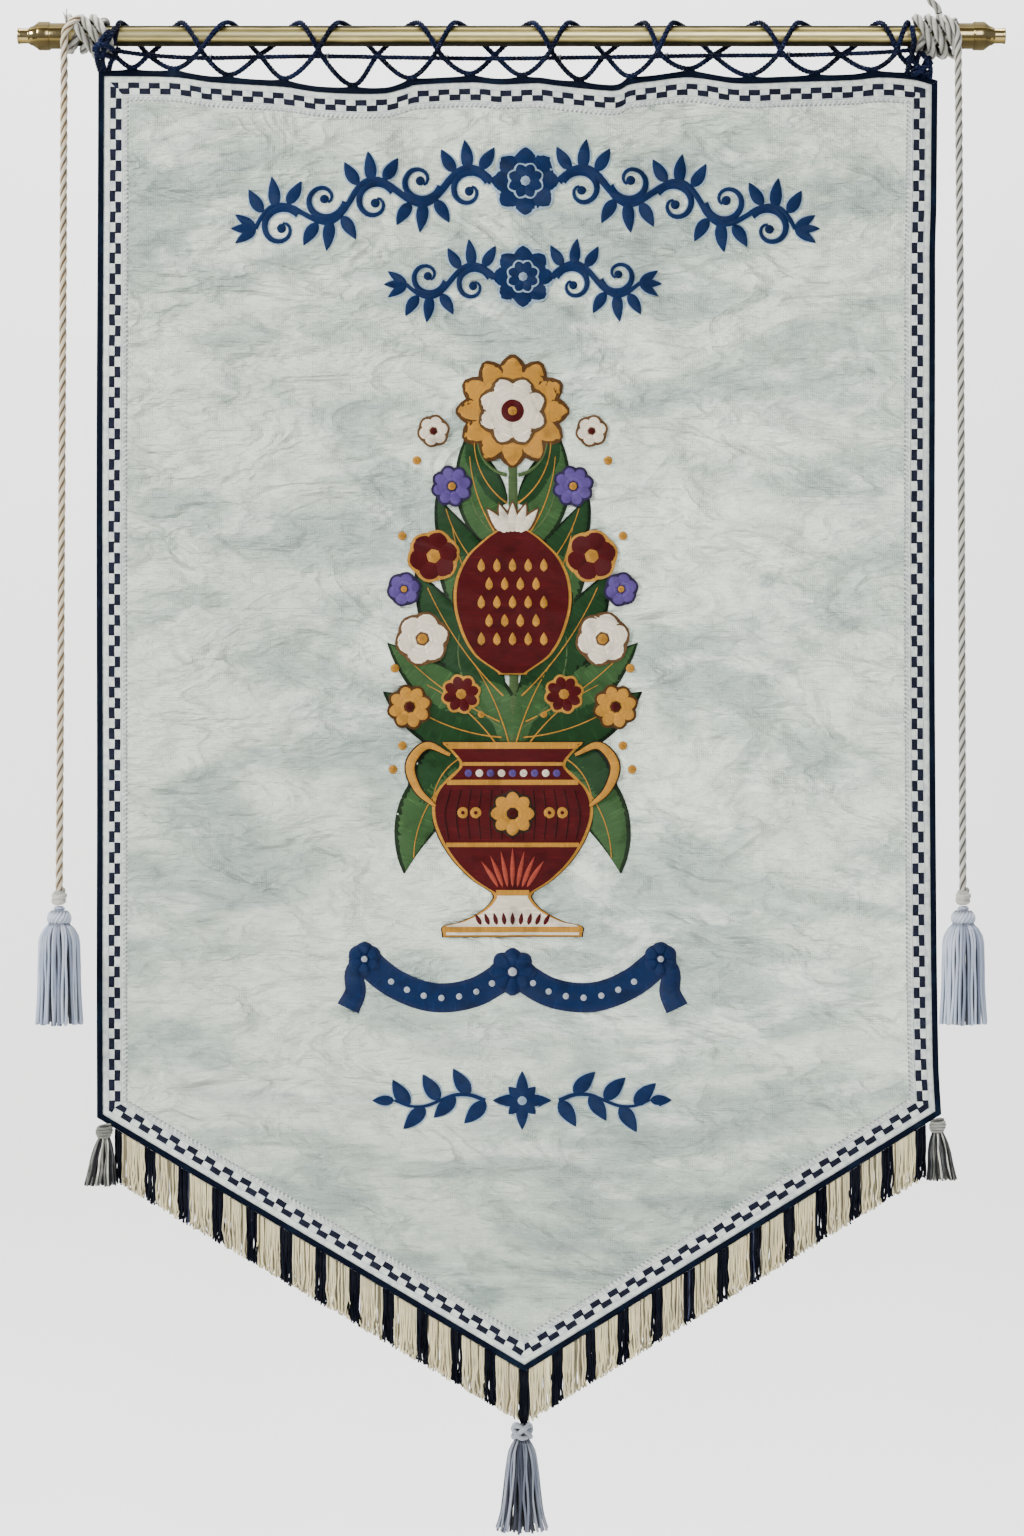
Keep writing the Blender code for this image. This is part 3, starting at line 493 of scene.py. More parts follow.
class Looks:
    """The nodes of one material."""

    def __init__(self, name, roughness=0.6, metallic=0.0, sheen=0.0, specular=0.5):
        self.material = bpy.data.materials.new(name)
        self.material.use_nodes = True
        self.tree = self.material.node_tree
        self.shader = self.tree.nodes["Principled BSDF"]
        self.shader.inputs["Roughness"].default_value = roughness
        self.shader.inputs["Metallic"].default_value = metallic
        self.shader.inputs["Sheen Weight"].default_value = sheen
        self.shader.inputs["Specular IOR Level"].default_value = specular

    def node(self, kind, settings, inputs, output=0):
        """Adds a node, sets it and its sockets, and gives one of its outputs."""
        made = self.tree.nodes.new("ShaderNode" + kind)
        for key, value in settings.items():
            setattr(made, key, value)
        for key, value in inputs.items():
            self.feed(made.inputs[key], value)
        return Wire(self, made.outputs[output])

    def feed(self, socket, value):
        """Links a wire to a socket, or sets the socket to a value."""
        if isinstance(value, Wire):
            self.tree.links.new(value.socket, socket)
        elif hasattr(value, "__len__") and socket.type == "RGBA":
            socket.default_value = (*value[:3], 1.0)
        else:
            socket.default_value = value

    def place(self, scale=(1.0, 1.0, 1.0), turn=(0.0, 0.0, 0.0)):
        """The object's own coordinates."""
        coordinates = self.node("TexCoord", {}, {}, output="Object")
        return self.node("Mapping", {}, {"Vector": coordinates, "Scale": scale, "Rotation": turn})

    def cut(self, scale=(1.0, 1.0, 1.0), turn=(0.0, 0.0, 0.0)):
        """The piece's UV map, which is in metres along it and across it."""
        coordinates = self.node("UVMap", {"uv_map": "UVMap"}, {})
        return self.node("Mapping", {}, {"Vector": coordinates, "Scale": scale, "Rotation": turn})

    def tint(self):
        """The tint of each face corner, which holds painted shade as well as tone."""
        return self.node("Attribute", {"attribute_name": "tint"}, {}, output="Color")

    def cloud(self, vector, scale, detail=2.0, roughness=0.5, distortion=0.0):
        """Soft noise between 0 and 1."""
        inputs = {"Vector": vector, "Scale": scale, "Detail": detail}
        inputs |= {"Roughness": roughness, "Distortion": distortion}
        return self.node("TexNoise", {}, inputs)

    def mix(self, share, first, second, way="MIX"):
        settings = {"data_type": "RGBA", "blend_type": way}
        return self.node("Mix", settings, {0: share, 6: first, 7: second}, output=2)

    def wear(self, colour, roughness=None, height=None, depth=0.0005, metallic=None):
        """Joins what changes over the surface to the shader."""
        self.feed(self.shader.inputs["Base Color"], colour)
        if roughness is not None:
            self.feed(self.shader.inputs["Roughness"], roughness)
        if metallic is not None:
            self.feed(self.shader.inputs["Metallic"], metallic)
        if height is not None:
            bump = self.node("Bump", {}, {"Height": height, "Distance": depth, "Strength": 1.0})
            self.feed(self.shader.inputs["Normal"], bump)
        return self.material


def finish_once(name, make, *values):
    """The named material, made the first time that it is asked for."""
    return bpy.data.materials.get(name) or make(name, *values)


def brass_finish(name, tone, painted_light_share, rough):
    """Polished brass with random tarnish patches, painted dark reflections below and above, and a painted
    highlight band along its middle.
    """
    looks = Looks(name, metallic=1.0, specular=0.06)
    streaks = looks.cloud(looks.place(scale=(2.0, 30.0, 30.0)), 1.6, detail=3.0)
    patches = looks.cloud(looks.place(scale=(9.0, 22.0, 22.0)), 1.0, detail=5.0, roughness=0.62)
    marks = looks.cloud(looks.place(scale=(20.0, 120.0, 120.0)), 1.0, detail=2.0)
    ripple = looks.cloud(looks.place(scale=(7.0, 1.0, 1.0)), 2.0, detail=3.0) - 0.5
    bright = looks.mix(streaks.fade(0.3, 0.7), tone, [value * 1.25 for value in tone])
    tarnish = patches.fade(0.52, 0.78)
    colour = looks.mix(tarnish * 0.5, bright, [value * 0.45 for value in tone])
    height = looks.place().part(2) + ripple * 0.003
    # Painted reflection: below the middle and along the top edge the brass is painted dark, rough and not
    # metallic, in place of a dark room's reflection.
    painted_dark_reflection = (1.0 - height.fade(-0.0084, -0.0042)) * painted_light_share
    painted_dark_reflection = painted_dark_reflection.larger(height.fade(0.0050, 0.0082) * painted_light_share)
    # Painted shade that deepens towards the top.
    crown = height.fade(0.0008, 0.0085) * painted_light_share
    # Painted highlight: a pale band along the middle, where a lamp would be reflected.
    lightened = height.fade(-0.0056, -0.0012) * (1.0 - height.fade(0.0006, 0.0046)) * painted_light_share
    colour = looks.mix(lightened * 0.45, colour, [value**0.4 for value in tone])
    colour = looks.mix(painted_dark_reflection.larger(crown * 0.78), colour, (0.013, 0.012, 0.006))
    rough = rough + tarnish * 0.12 + marks.fade(0.4, 0.8) * 0.05 + painted_dark_reflection * 0.60
    relief = streaks * 0.5 + marks * 0.1
    return looks.wear(colour, rough, height=relief, depth=0.00008, metallic=1.0 - painted_dark_reflection)


def silk_finish(name, settings):
    """Old silk: patches, stains and streaks along its weft, painted shade along its waves and creases,
    painted light that makes it darker to the left and brighter to the right, and darker towards the foot and
    the top.
    """
    looks = Looks(name, sheen=0.12, specular=0.35)
    place = looks.place()
    drift = looks.cloud(looks.place(scale=(2.2, 1.0, 5.5)), 1.6, detail=6.0, roughness=0.6, distortion=0.6)
    blotch = looks.cloud(looks.place(scale=(1.0, 1.0, 2.6)), 5.5, detail=7.0, roughness=0.66, distortion=0.4)
    drawn_out = looks.place(scale=(9.0, 1.0, 70.0), turn=(0.0, 0.06, 0.0))
    streak = looks.cloud(drawn_out, 1.0, detail=5.0, roughness=0.6)
    weft = looks.cloud(looks.place(scale=(60.0, 1.0, 900.0)), 1.0, detail=3.0)
    stains = looks.cloud(place, 7.0, detail=6.0, roughness=0.7, distortion=1.2)
    colour = looks.mix(drift.fade(0.40, 0.58), settings.silk_shade, settings.silk)
    colour = looks.mix(blotch.fade(0.48, 0.64) * 0.85, colour, settings.silk_pale)
    colour = looks.mix(streak.fade(0.54, 0.76) * 0.34, colour, (0.33, 0.39, 0.37))
    # Painted shade: darker bands along the silk's waves, strongest towards the foot.
    waves = looks.cloud(looks.place(scale=(3.0, 1.0, 22.0), turn=(0.0, 0.20, 0.0)), 1.3, detail=4.0)
    waves = waves.fade(0.48, 0.62) * (1.0 - place.part(2).fade(-1.30, -0.88) * 0.85)
    colour = looks.mix(waves * 0.60, colour, (0.27, 0.33, 0.31))
    colour = looks.mix(stains.fade(0.60, 0.82) * 0.30, colour, (0.62, 0.60, 0.50))
    colour = looks.mix(weft.fade(0.35, 0.75) * 0.10, colour, (0.85, 0.87, 0.86))
    slanted = looks.place(scale=(1.0, 1.0, 2.6), turn=(0.0, 0.2, 0.0))
    crumple = looks.cloud(slanted, 16.0, detail=5.0, roughness=0.55)
    fold = abs(looks.cloud(looks.place(scale=(1.0, 1.0, 2.2)), 9.0, detail=3.0, distortion=0.8) - 0.5)
    # Painted shade: thin darker lines along the creases of the fold noise.
    painted_crease_shade = (1.0 - fold.fade(0.0, 0.045)) * stains.fade(0.42, 0.60)
    colour = looks.mix(painted_crease_shade * 0.38, colour, (0.30, 0.36, 0.34))
    # Painted light: darker to the left and brighter to the right; then darker towards the foot and towards
    # the top.
    worn = looks.mix(place.part(0).fade(-0.40, 0.30), (0.93, 0.935, 0.93), (1.22, 1.22, 1.21))
    worn = looks.mix((1.0 - place.part(2).fade(-1.40, -1.02)) * 0.95, worn, (0.74, 0.77, 0.76))
    worn = looks.mix(place.part(2).fade(-0.50, -0.12) * 0.35, worn, (0.80, 0.81, 0.79))
    colour = looks.mix(1.0, colour, worn, way="MULTIPLY")
    thread = looks.cut().part(1) * 2400.0
    warp = looks.cut().part(0) * 2600.0
    weave = thread.sine() * 0.006 + warp.sine() * 0.006
    height = crumple + (0.30 - fold).larger(0.0) * 1.6 + streak * 0.25 + weave
    return looks.wear(colour, 0.42 + blotch * 0.22, height=height, depth=0.0210)


def braid_finish(name, settings):
    """Two rows of checks between a ribbed outer edge and a stitched inner edge."""
    looks = Looks(name, specular=0.08)
    cut = looks.cut()
    along, across = cut.part(0), cut.part(1)
    wander = looks.cloud(looks.place(), 55.0, detail=2.0) - 0.5
    across = across + wander * 0.0016
    along = along + wander * 0.0012
    first = across.above(0.0069) * (1.0 - across.above(0.0132))
    second = across.above(0.0130) * (1.0 - across.above(0.0195))
    phase = (along / (2.0 * settings.check_length)).fraction()
    dark = (first * phase.above(0.45) + second * (1.0 - phase.above(0.53))).fade(0.0, 1.0)
    ribs = (along * (math.tau / 0.0016)).sine()
    picot = across.above(0.0222) * ((along + across * 0.6) * (math.tau / 0.0052)).sine().fade(-0.2, 0.6)
    seam = 1.0 - abs(across - 0.0205).fade(0.0, 0.0009)
    rim = 1.0 - abs(across - 0.0066).fade(0.0, 0.0008)
    mottle = looks.cloud(looks.place(), 140.0, detail=3.0)
    ground = looks.mix(mottle.fade(0.35, 0.7), settings.braid, (0.50, 0.55, 0.54))
    # Painted shade down in the grooves of the seam and of the rim.
    ground = looks.mix(seam * 0.5 + rim * 0.35, ground, (0.20, 0.23, 0.25))
    # Painted shade between the picot loops.
    ground = looks.mix(across.above(0.0222) * (1.0 - picot) * 0.55, ground, (0.26, 0.29, 0.27))
    dots = across.above(0.0254) * (along * (math.tau / 0.0050)).sine().above(0.1)
    ground = looks.mix(dots * 0.7, ground, (0.10, 0.11, 0.11))
    checks = looks.mix(mottle.fade(0.3, 0.8), settings.checks, (0.012, 0.014, 0.030))
    colour = looks.mix(dark, ground, checks)
    height = ribs * 0.10 + picot * 0.9 - seam * 0.8 - rim * 0.6 - dark * 0.12 + mottle * 0.3
    return looks.wear(colour, 0.62, height=height, depth=0.0005)


def tape_finish(name, tint):
    """A folded tape with fine ribs across it and a line of stitches near its inner edge."""
    looks = Looks(name, specular=0.04)
    cut = looks.cut()
    along, across = cut.part(0), cut.part(1)
    ribs = (along * (math.tau / 0.0011)).sine()
    wrinkle = looks.cloud(looks.place(), 90.0, detail=4.0)
    lightened = looks.cloud(looks.place(), 26.0, detail=4.0)
    stitch = (along * (math.tau / 0.0034)).sine().above(-0.2)
    stitch = (1.0 - abs(across - 0.0010).fade(0.0, 0.0005)) * stitch
    # Paler patches at random, from wear.
    colour = looks.mix(lightened.fade(0.48, 0.78) * 0.5, tint, (0.008, 0.022, 0.046))
    # Painted highlight: paler where the wrinkle bumps stand highest.
    colour = looks.mix(wrinkle.fade(0.6, 0.85) * 0.25, colour, (0.030, 0.042, 0.085))
    return looks.wear(colour, 0.50, height=ribs * 0.10 + wrinkle * 0.8 - stitch * 0.4, depth=0.0006)


def yarn_finish(name, tint, second, painted_glint=None, ply=0.0009, rough=0.75):
    """Twisted yarn: fine slanting fibres along the UV map, darker and paler by turns, times each face
    corner's tint with its painted shade, and pale flecks that are painted glints.
    """
    pale = min(1.0, 4.0 * max(tint))
    looks = Looks(name, roughness=rough, sheen=0.12 * pale, specular=0.03 + 0.10 * pale)
    cut = looks.cut()
    slant = cut.part(1) + cut.part(0) * 0.55
    plies = (slant * (math.tau / ply)).sine()
    fibres = looks.cloud(looks.cut(scale=(900.0, 2600.0, 1.0), turn=(0.0, 0.0, 0.5)), 1.0, detail=2.0)
    drift = looks.cloud(looks.place(), 38.0, detail=4.0, roughness=0.6)
    colour = looks.mix(drift.fade(0.36, 0.66), tint, second)
    colour = looks.mix(fibres.fade(0.35, 0.75) * 0.35, colour, (0.5, 0.5, 0.5), way="SOFT_LIGHT")
    colour = looks.mix(1.0, colour, looks.tint(), way="MULTIPLY")
    if painted_glint is not None:
        # Painted glints: pale flecks on the yarn.
        spots = looks.cloud(looks.cut(scale=(700.0, 1500.0, 1.0)), 1.0, detail=1.0)
        colour = looks.mix(spots.fade(0.66, 0.74), colour, painted_glint)
    return looks.wear(colour, rough, height=plies * 0.4 + fibres * 0.5, depth=0.0003)


def stitch_finish(name):
    """Satin stitch in the colour of each shape, with the stitches across it, paler bands of painted sheen
    along its thread bundles and darker patches at random.
    """
    looks = Looks(name, specular=0.12)
    cut = looks.cut()
    slant = cut.part(0) + cut.part(1) * 0.35
    stitches = (slant * (math.tau / 0.0010)).sine()
    bundles = looks.cloud(looks.cut(scale=(420.0, 40.0, 1.0)), 1.0, detail=3.0)
    wander = looks.cloud(looks.place(), 60.0, detail=3.0)
    tint = looks.tint()
    # Painted sheen: paler bands along the thread bundles.
    paler = looks.mix(1.0, tint, (1.9, 1.8, 1.7), way="MULTIPLY")
    darker = looks.mix(0.55, tint, (0.0, 0.0, 0.0))
    colour = looks.mix(bundles.fade(0.50, 0.78) * 0.75, tint, paler)
    colour = looks.mix(wander.fade(0.50, 0.75) * 0.60, colour, darker)
    return looks.wear(colour, 0.36 + bundles * 0.3, height=stitches * 0.35 + bundles * 0.8, depth=0.0004)


# Shapes

SIGN = {"left": -1, "right": 1}
PLAIN = (1.0, 1.0, 1.0)
GROOVE_SHADE = (0.3, 0.3, 0.3)  # painted shade: how bright a rope is painted down in its grooves


def smooth_step(value):
    """0 up to 0 and 1 from 1 on, smooth between."""
    value = min(1.0, max(0.0, value))
    return value * value * (3.0 - 2.0 * value)


def curve_weights(t):
    """How much a curve's start, its slope there, its end and its slope there count at share t."""
    return 2 * t**3 - 3 * t**2 + 1, t**3 - 2 * t**2 + t, 3 * t**2 - 2 * t**3, t**3 - t**2


def smooth_value(table, at):
    """A smooth line through the table's rows, held level past its two ends."""
    if at <= table[0][0]:
        return table[0][1]
    if at >= table[-1][0]:
        return table[-1][1]
    index = max(i for i in range(len(table) - 1) if table[i][0] <= at)

    def tangent(i):
        before, after = table[max(i - 1, 0)], table[min(i + 1, len(table) - 1)]
        return (after[1] - before[1]) / (after[0] - before[0])

    (start, low), (end, high) = table[index], table[index + 1]
    span = end - start
    a, b, c, d = curve_weights((at - start) / span)
    return low * a + tangent(index) * span * b + high * c + tangent(index + 1) * span * d


def smooth_route(points, spacing):
    """Points at an even spacing along a smooth curve through the given ones."""
    points = [Vector(point) for point in points]
    gaps = [(b - a).length for a, b in zip(points, points[1:])]
    slopes = [(b - a) / gap for a, b, gap in zip(points, points[1:], gaps)]
    tangents = [slopes[0]]
    for before, after, near, far in zip(slopes, slopes[1:], gaps, gaps[1:]):
        tangents.append((before * far + after * near) / (near + far))
    tangents.append(slopes[-1])
    dense = []
    for start, end, leaving, coming, gap in zip(points, points[1:], tangents, tangents[1:], gaps):
        count = max(8, math.ceil(2 * gap / spacing))
        for k in range(count):
            a, b, c, d = curve_weights(k / count)
            dense.append(start * a + leaving * gap * b + end * c + coming * gap * d)
    dense.append(points[-1])
    return even_route(dense, spacing)


def even_route(dense, spacing):
    """The same route with its points at an even spacing."""
    runs = [(b - a).length for a, b in zip(dense, dense[1:])]
    count = max(2, round(sum(runs) / spacing))
    step = sum(runs) / count
    route, travelled, target = [dense[0]], 0.0, step
    for a, run, b in zip(dense, runs, dense[1:]):
        while run > 0 and travelled + run >= target - 1e-9 and len(route) < count:
            route.append(a.lerp(b, (target - travelled) / run))
            target += step
        travelled += run
    return route + [dense[-1]]


def sum_length(line):
    """The length of a line of points."""
    return sum(math.dist(a, b) for a, b in zip(line, line[1:]))


def upright(line):
    """Points (x, z) as points in the rod's plane."""
    return [Vector((x, 0.0, z)) for x, z in line]


def around_z(reach, angle, height):
    """A point beside the Z axis, from its distance, its direction and its height."""
    return Vector((reach * math.cos(angle), reach * math.sin(angle), height))


def edge_x(side, z):
    return smooth_value(LEFT_EDGE if side == "left" else RIGHT_EDGE, z)


def top_z(x):
    return smooth_value(TOP_EDGE, x)


def foot_z(x):
    """The panel's outline along its two lower slopes."""
    corner = LEFT_CORNER if x < POINT.x else RIGHT_CORNER
    return POINT.z + (corner.z - POINT.z) * (x - POINT.x) / (corner.x - POINT.x)


def fold_depth(x, z):
    """How far the cloth's hung folds stand behind the rod's axis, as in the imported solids."""
    drop = max(0.0, top_z(x) - z)
    growth = EDGE_HOLD + (1 - EDGE_HOLD) * (1 - math.exp(-drop / FOLD_GROWTH))
    depth = 0.0
    for centre, half_width, forward, reach in FOLDS:
        across = math.exp(-(((x - centre) / half_width) ** 2))
        depth -= forward * across * growth * math.exp(-((drop / reach) ** 1.5))
    fade = min(1.0, max(0.0, (z - SIDE_CURL_END) / SIDE_CURL_FADE)) * min(1.0, drop / SIDE_CURL_GROWTH)
    for edge, phase in SIDE_CURL_PHASES:
        near = math.exp(-(((x - edge) / SIDE_CURL_WIDTH) ** 2))
        depth += SIDE_CURL * near * fade * math.sin(math.tau * drop / SIDE_CURL_PERIOD + phase)
    return depth


def crease_depth(x, z):
    """How far the single creases push the silk back."""
    depth = 0.0
    for x1, z1, x2, z2, half_width, forward in CREASES:
        run = Vector((x2 - x1, z2 - z1))
        offset = Vector((x - x1, z - z1))
        share = offset.dot(run) / run.length_squared
        if -CREASE_RUN_OUT < share < 1 + CREASE_RUN_OUT:
            away = abs(run.x * offset.y - run.y * offset.x) / run.length
            ends = math.sin(math.pi * (share + CREASE_RUN_OUT) / (1 + 2 * CREASE_RUN_OUT))
            depth -= CREASE_STRENGTH * forward * math.exp(-((away / half_width) ** 2)) * ends
    return depth


def crumple_depth(x, z):
    """Soft ridges that run across the silk, a little down to the right."""
    drift = noise.noise(Vector((x * 3.0, 5.0, z * 3.0)))
    along, down = x + 0.15 * z, z + (0.22 + 0.25 * drift) * x
    broad = math.hypot(noise.noise(Vector((along * 8.0 + drift, 1.0, down * 21.0))), 0.04)
    fine = math.hypot(noise.noise(Vector((along * 19.0, 7.0, down * 47.0 + drift))), 0.05)
    return CRUMPLE * (broad + 0.40 * fine - 0.25)


def cloth_depth(x, z):
    """The silk's middle surface: its hung folds, its creases, its shallow waves and its crumples."""
    side_room = min(x - edge_x("left", z), edge_x("right", z) - x)
    room = min(side_room, top_z(x) - z, (z - foot_z(x)) * math.cos(SLOPE))
    fade = min(1.0, max(0.0, (room - FLAT_RIM) / RIM_FADE))
    wave = noise.noise(Vector((x * 7.0, 3.0, z * 13.0)))
    wave += 0.5 * noise.noise(Vector((x * 17.0, 9.0, z * 31.0)))
    return fold_depth(x, z) + fade * (crease_depth(x, z) + SOFT_WAVES * wave + crumple_depth(x, z))


def on_cloth(x, z, lift):
    """A point that stands in front of the silk's middle surface."""
    return Vector((x, cloth_depth(x, z) - lift, z))


class Piece:
    """A mesh in the making, with a UV map in metres and a tint on each face corner, which also holds painted
    shade.
    """

    def __init__(self):
        self.bm = bmesh.new()
        self.uv = self.bm.loops.layers.uv.new("UVMap")
        self.tint = self.bm.loops.layers.float_color.new("tint")

    def sheet(self, steps, place, tint=PLAIN):
        """A grid that place moves: from two shares to a point, its place on the UV map and, if place gives
        one, its painted shade.
        """
        made = bmesh.ops.create_grid(self.bm, x_segments=steps[0], y_segments=steps[1], size=0.5)["verts"]
        uvs, shades = {}, {}
        for vert in made:
            vert.co, uvs[vert], *rest = place(vert.co.x + 0.5, vert.co.y + 0.5)
            shades[vert] = rest[0] if rest else PLAIN
        for face in {face for vert in made for face in vert.link_faces}:
            for loop in face.loops:
                loop[self.uv].uv = uvs[loop.vert]
                loop[self.tint] = (*[part * shade for part, shade in zip(tint, shades[loop.vert])], 1.0)

    def tube(self, route, radius, sides, tint=PLAIN, shade=None):
        """A tube along a route; shade gives its painted shade at a point, from the point and its ring."""
        rings = ring_frames(route)
        last = len(route) - 1
        step = (route[1] - route[0]).length

        def place(u, v):
            index = round(u * last)
            point, side, other = rings[index]
            around = math.tau * (round(v * sides) % sides) / sides
            at = point + side * (math.cos(around) * radius) + other * (math.sin(around) * radius)
            return at, (index * step, v * math.tau * radius), shade(at, index) if shade else PLAIN

        self.sheet((last, sides), place, tint)

    def strands(self, route, radius, lay, count, sides, tints, share=0.52, groove=GROOVE_SHADE, buried=None):
        """Twisted strands that fill a round rope along a route, with painted shade in their grooves and
        where buried.
        """
        rings = ring_frames(route)
        step = (route[1] - route[0]).length

        def shade(at, index):
            # Painted shade: darker towards the rope's middle, in the grooves between strands.
            unshaded = smooth_step(((at - route[index]).length / radius - 0.72) / 0.24)
            if buried is not None:
                unshaded *= buried(at)
            return [dark + (1.0 - dark) * unshaded for dark in groove]

        for strand in range(count):
            line = []
            for index, (point, side, other) in enumerate(rings):
                around = math.tau * (strand / count + index * step / lay)
                out = side * math.cos(around) + other * math.sin(around)
                line.append(point + out * radius * (1 - share))
            self.tube(line, radius * share, sides, tints[strand % len(tints)], shade)

    def turned(self, outline, sides, axis, tint=PLAIN):
        """Spins an outline of (along, radius) right round an axis, X or Z, through (0, 0, 0)."""
        verts = []
        for along, radius in outline:
            point = (along, 0.0, radius) if axis == "X" else (radius, 0.0, along)
            verts.append(self.bm.verts.new(point))
        edges = [self.bm.edges.new(pair) for pair in zip(verts, verts[1:])]
        line = (1, 0, 0) if axis == "X" else (0, 0, 1)
        bmesh.ops.spin(self.bm, geom=verts + edges, axis=line, steps=sides, angle=math.tau, use_merge=True)
        for face in self.bm.faces:
            for loop in face.loops:
                point = loop.vert.co
                along = point.x if axis == "X" else point.z
                turn = math.atan2(point.y, point.z if axis == "X" else point.x)
                loop[self.uv].uv = (along, turn * math.hypot(point.y, point.z if axis == "X" else point.x))
                loop[self.tint] = (*tint, 1.0)

    def move(self, offset):
        bmesh.ops.translate(self.bm, vec=offset, verts=self.bm.verts)

    def make(self, name, material, closed=True, sharp=None, replaces=(), slot=None):
        """Welds and closes the mesh, and makes it a piece that rides on the body."""
        bmesh.ops.remove_doubles(self.bm, verts=self.bm.verts, dist=1e-7)
        if closed:
            open_edges = [edge for edge in self.bm.edges if edge.is_boundary]
            bmesh.ops.holes_fill(self.bm, edges=open_edges, sides=0)
            bmesh.ops.recalc_face_normals(self.bm, faces=self.bm.faces)
        mesh = bpy.data.meshes.new(name)
        self.bm.to_mesh(mesh)
        self.bm.free()
        mesh.shade_smooth()
        if sharp is not None:
            mesh.set_sharp_from_angle(angle=math.radians(sharp))
        mesh.materials.append(material)
        piece = bpy.data.objects.new(name, mesh)
        bpy.context.scene.collection.objects.link(piece)
        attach(piece, "root")
        if replaces:
            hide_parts(*replaces)
        return piece


def ring_frames(route):
    """Each point of a route with two directions across it that turn as little as they can."""
    side = None
    rings = []
    last = len(route) - 1
    for index, point in enumerate(route):
        along = (route[min(index + 1, last)] - route[max(index - 1, 0)]).normalized()
        if side is None:
            side = Vector((0.0, -1.0, 0.0)) if abs(along.y) < 0.9 else Vector((1.0, 0.0, 0.0))
        side = (side - along * side.dot(along)).normalized()
        rings.append((point, side, along.cross(side)))
    return rings


def shades(seed, count, spread):
    """Grey tints a little darker or paler than white, the same on each run."""
    chance = random.Random(seed)
    return [(value, value, value) for value in (1.0 - spread * chance.random() for _ in range(count))]


# Rod

ROD_FINIAL = (  # distance from its outer end, radius
    (0.0000, 0.0000),
    (0.0000, 0.0078),
    (0.0006, 0.0087),
    (0.0021, 0.0087),
    (0.0028, 0.0082),
    (0.0118, 0.0081),
    (0.0128, 0.0089),
    (0.0140, 0.0098),
    (0.0152, 0.0102),
    (0.0168, 0.0106),
    (0.0190, 0.0122),
    (0.0215, 0.0140),
    (0.0224, 0.0148),
    (0.0236, 0.0154),
    (0.0340, 0.0154),
    (0.0350, 0.0151),
    (0.0354, 0.0141),
    (0.0366, 0.0139),
    (0.0540, 0.0139),
    (0.0552, 0.0142),
    (0.0566, 0.0142),
    (0.0572, 0.0136),
    (0.0572, 0.0114),
)


def make_rod():
    """The tube and its two turned end knobs."""
    # After the tone: how strongly the painted reflections, shade and highlight show, and the roughness.
    brass = finish_once("rod_brass", brass_finish, (0.55, 0.445, 0.155), 1.0, 0.30)
    knobs = finish_once("turned_brass", brass_finish, (0.31, 0.22, 0.070), 0.80, 0.16)
    wall = [(ROD_BORE_R, -1), (ROD_R, -1), (ROD_R, 1), (ROD_BORE_R, 1), (ROD_BORE_R, -1)]
    rod = Piece()
    rod.turned([(TUBE_HALF * sign, radius) for radius, sign in wall], 96, "X")
    rod.make("brass_rod", brass, sharp=35, replaces=["rod_tube"], slot="brass")
    for side, sign in SIGN.items():
        finial = Piece()
        outline = [(sign * (ROD_HALF - along), radius) for along, radius in ROD_FINIAL]
        inner = sign * (ROD_HALF - FINIAL_CORE[0])
        outline += [(inner, FINIAL_CORE[1]), (inner, 0.0)]
        finial.turned(outline, 72, "X")
        name = "finial_" + side
        made = finial.make("brass_" + name, knobs, sharp=28, replaces=[name], slot="brass")
        bevel = made.modifiers.new("worn edges", "BEVEL")
        bevel.width = 0.0003
        bevel.segments = 2
        bevel.limit_method = "ANGLE"
        bevel.angle_limit = math.radians(28)


# Ropes and cords


def plait(centre, radius, swing, lift, bights, phase, spacing):
    """The closed route of a three-part plait round an upright axis."""
    dense = []
    for i in range(3 * 96 + 1):
        around = math.tau * i / 96
        wave = around * bights / 3 + phase
        dense.append(centre + around_z(radius + lift * math.sin(2 * wave), around, swing * math.sin(wave)))
    return even_route(dense, spacing)


def hitch_yarn(settings):
    return finish_once("hitch_rope", yarn_finish, settings.hitch, (0.38, 0.365, 0.315))


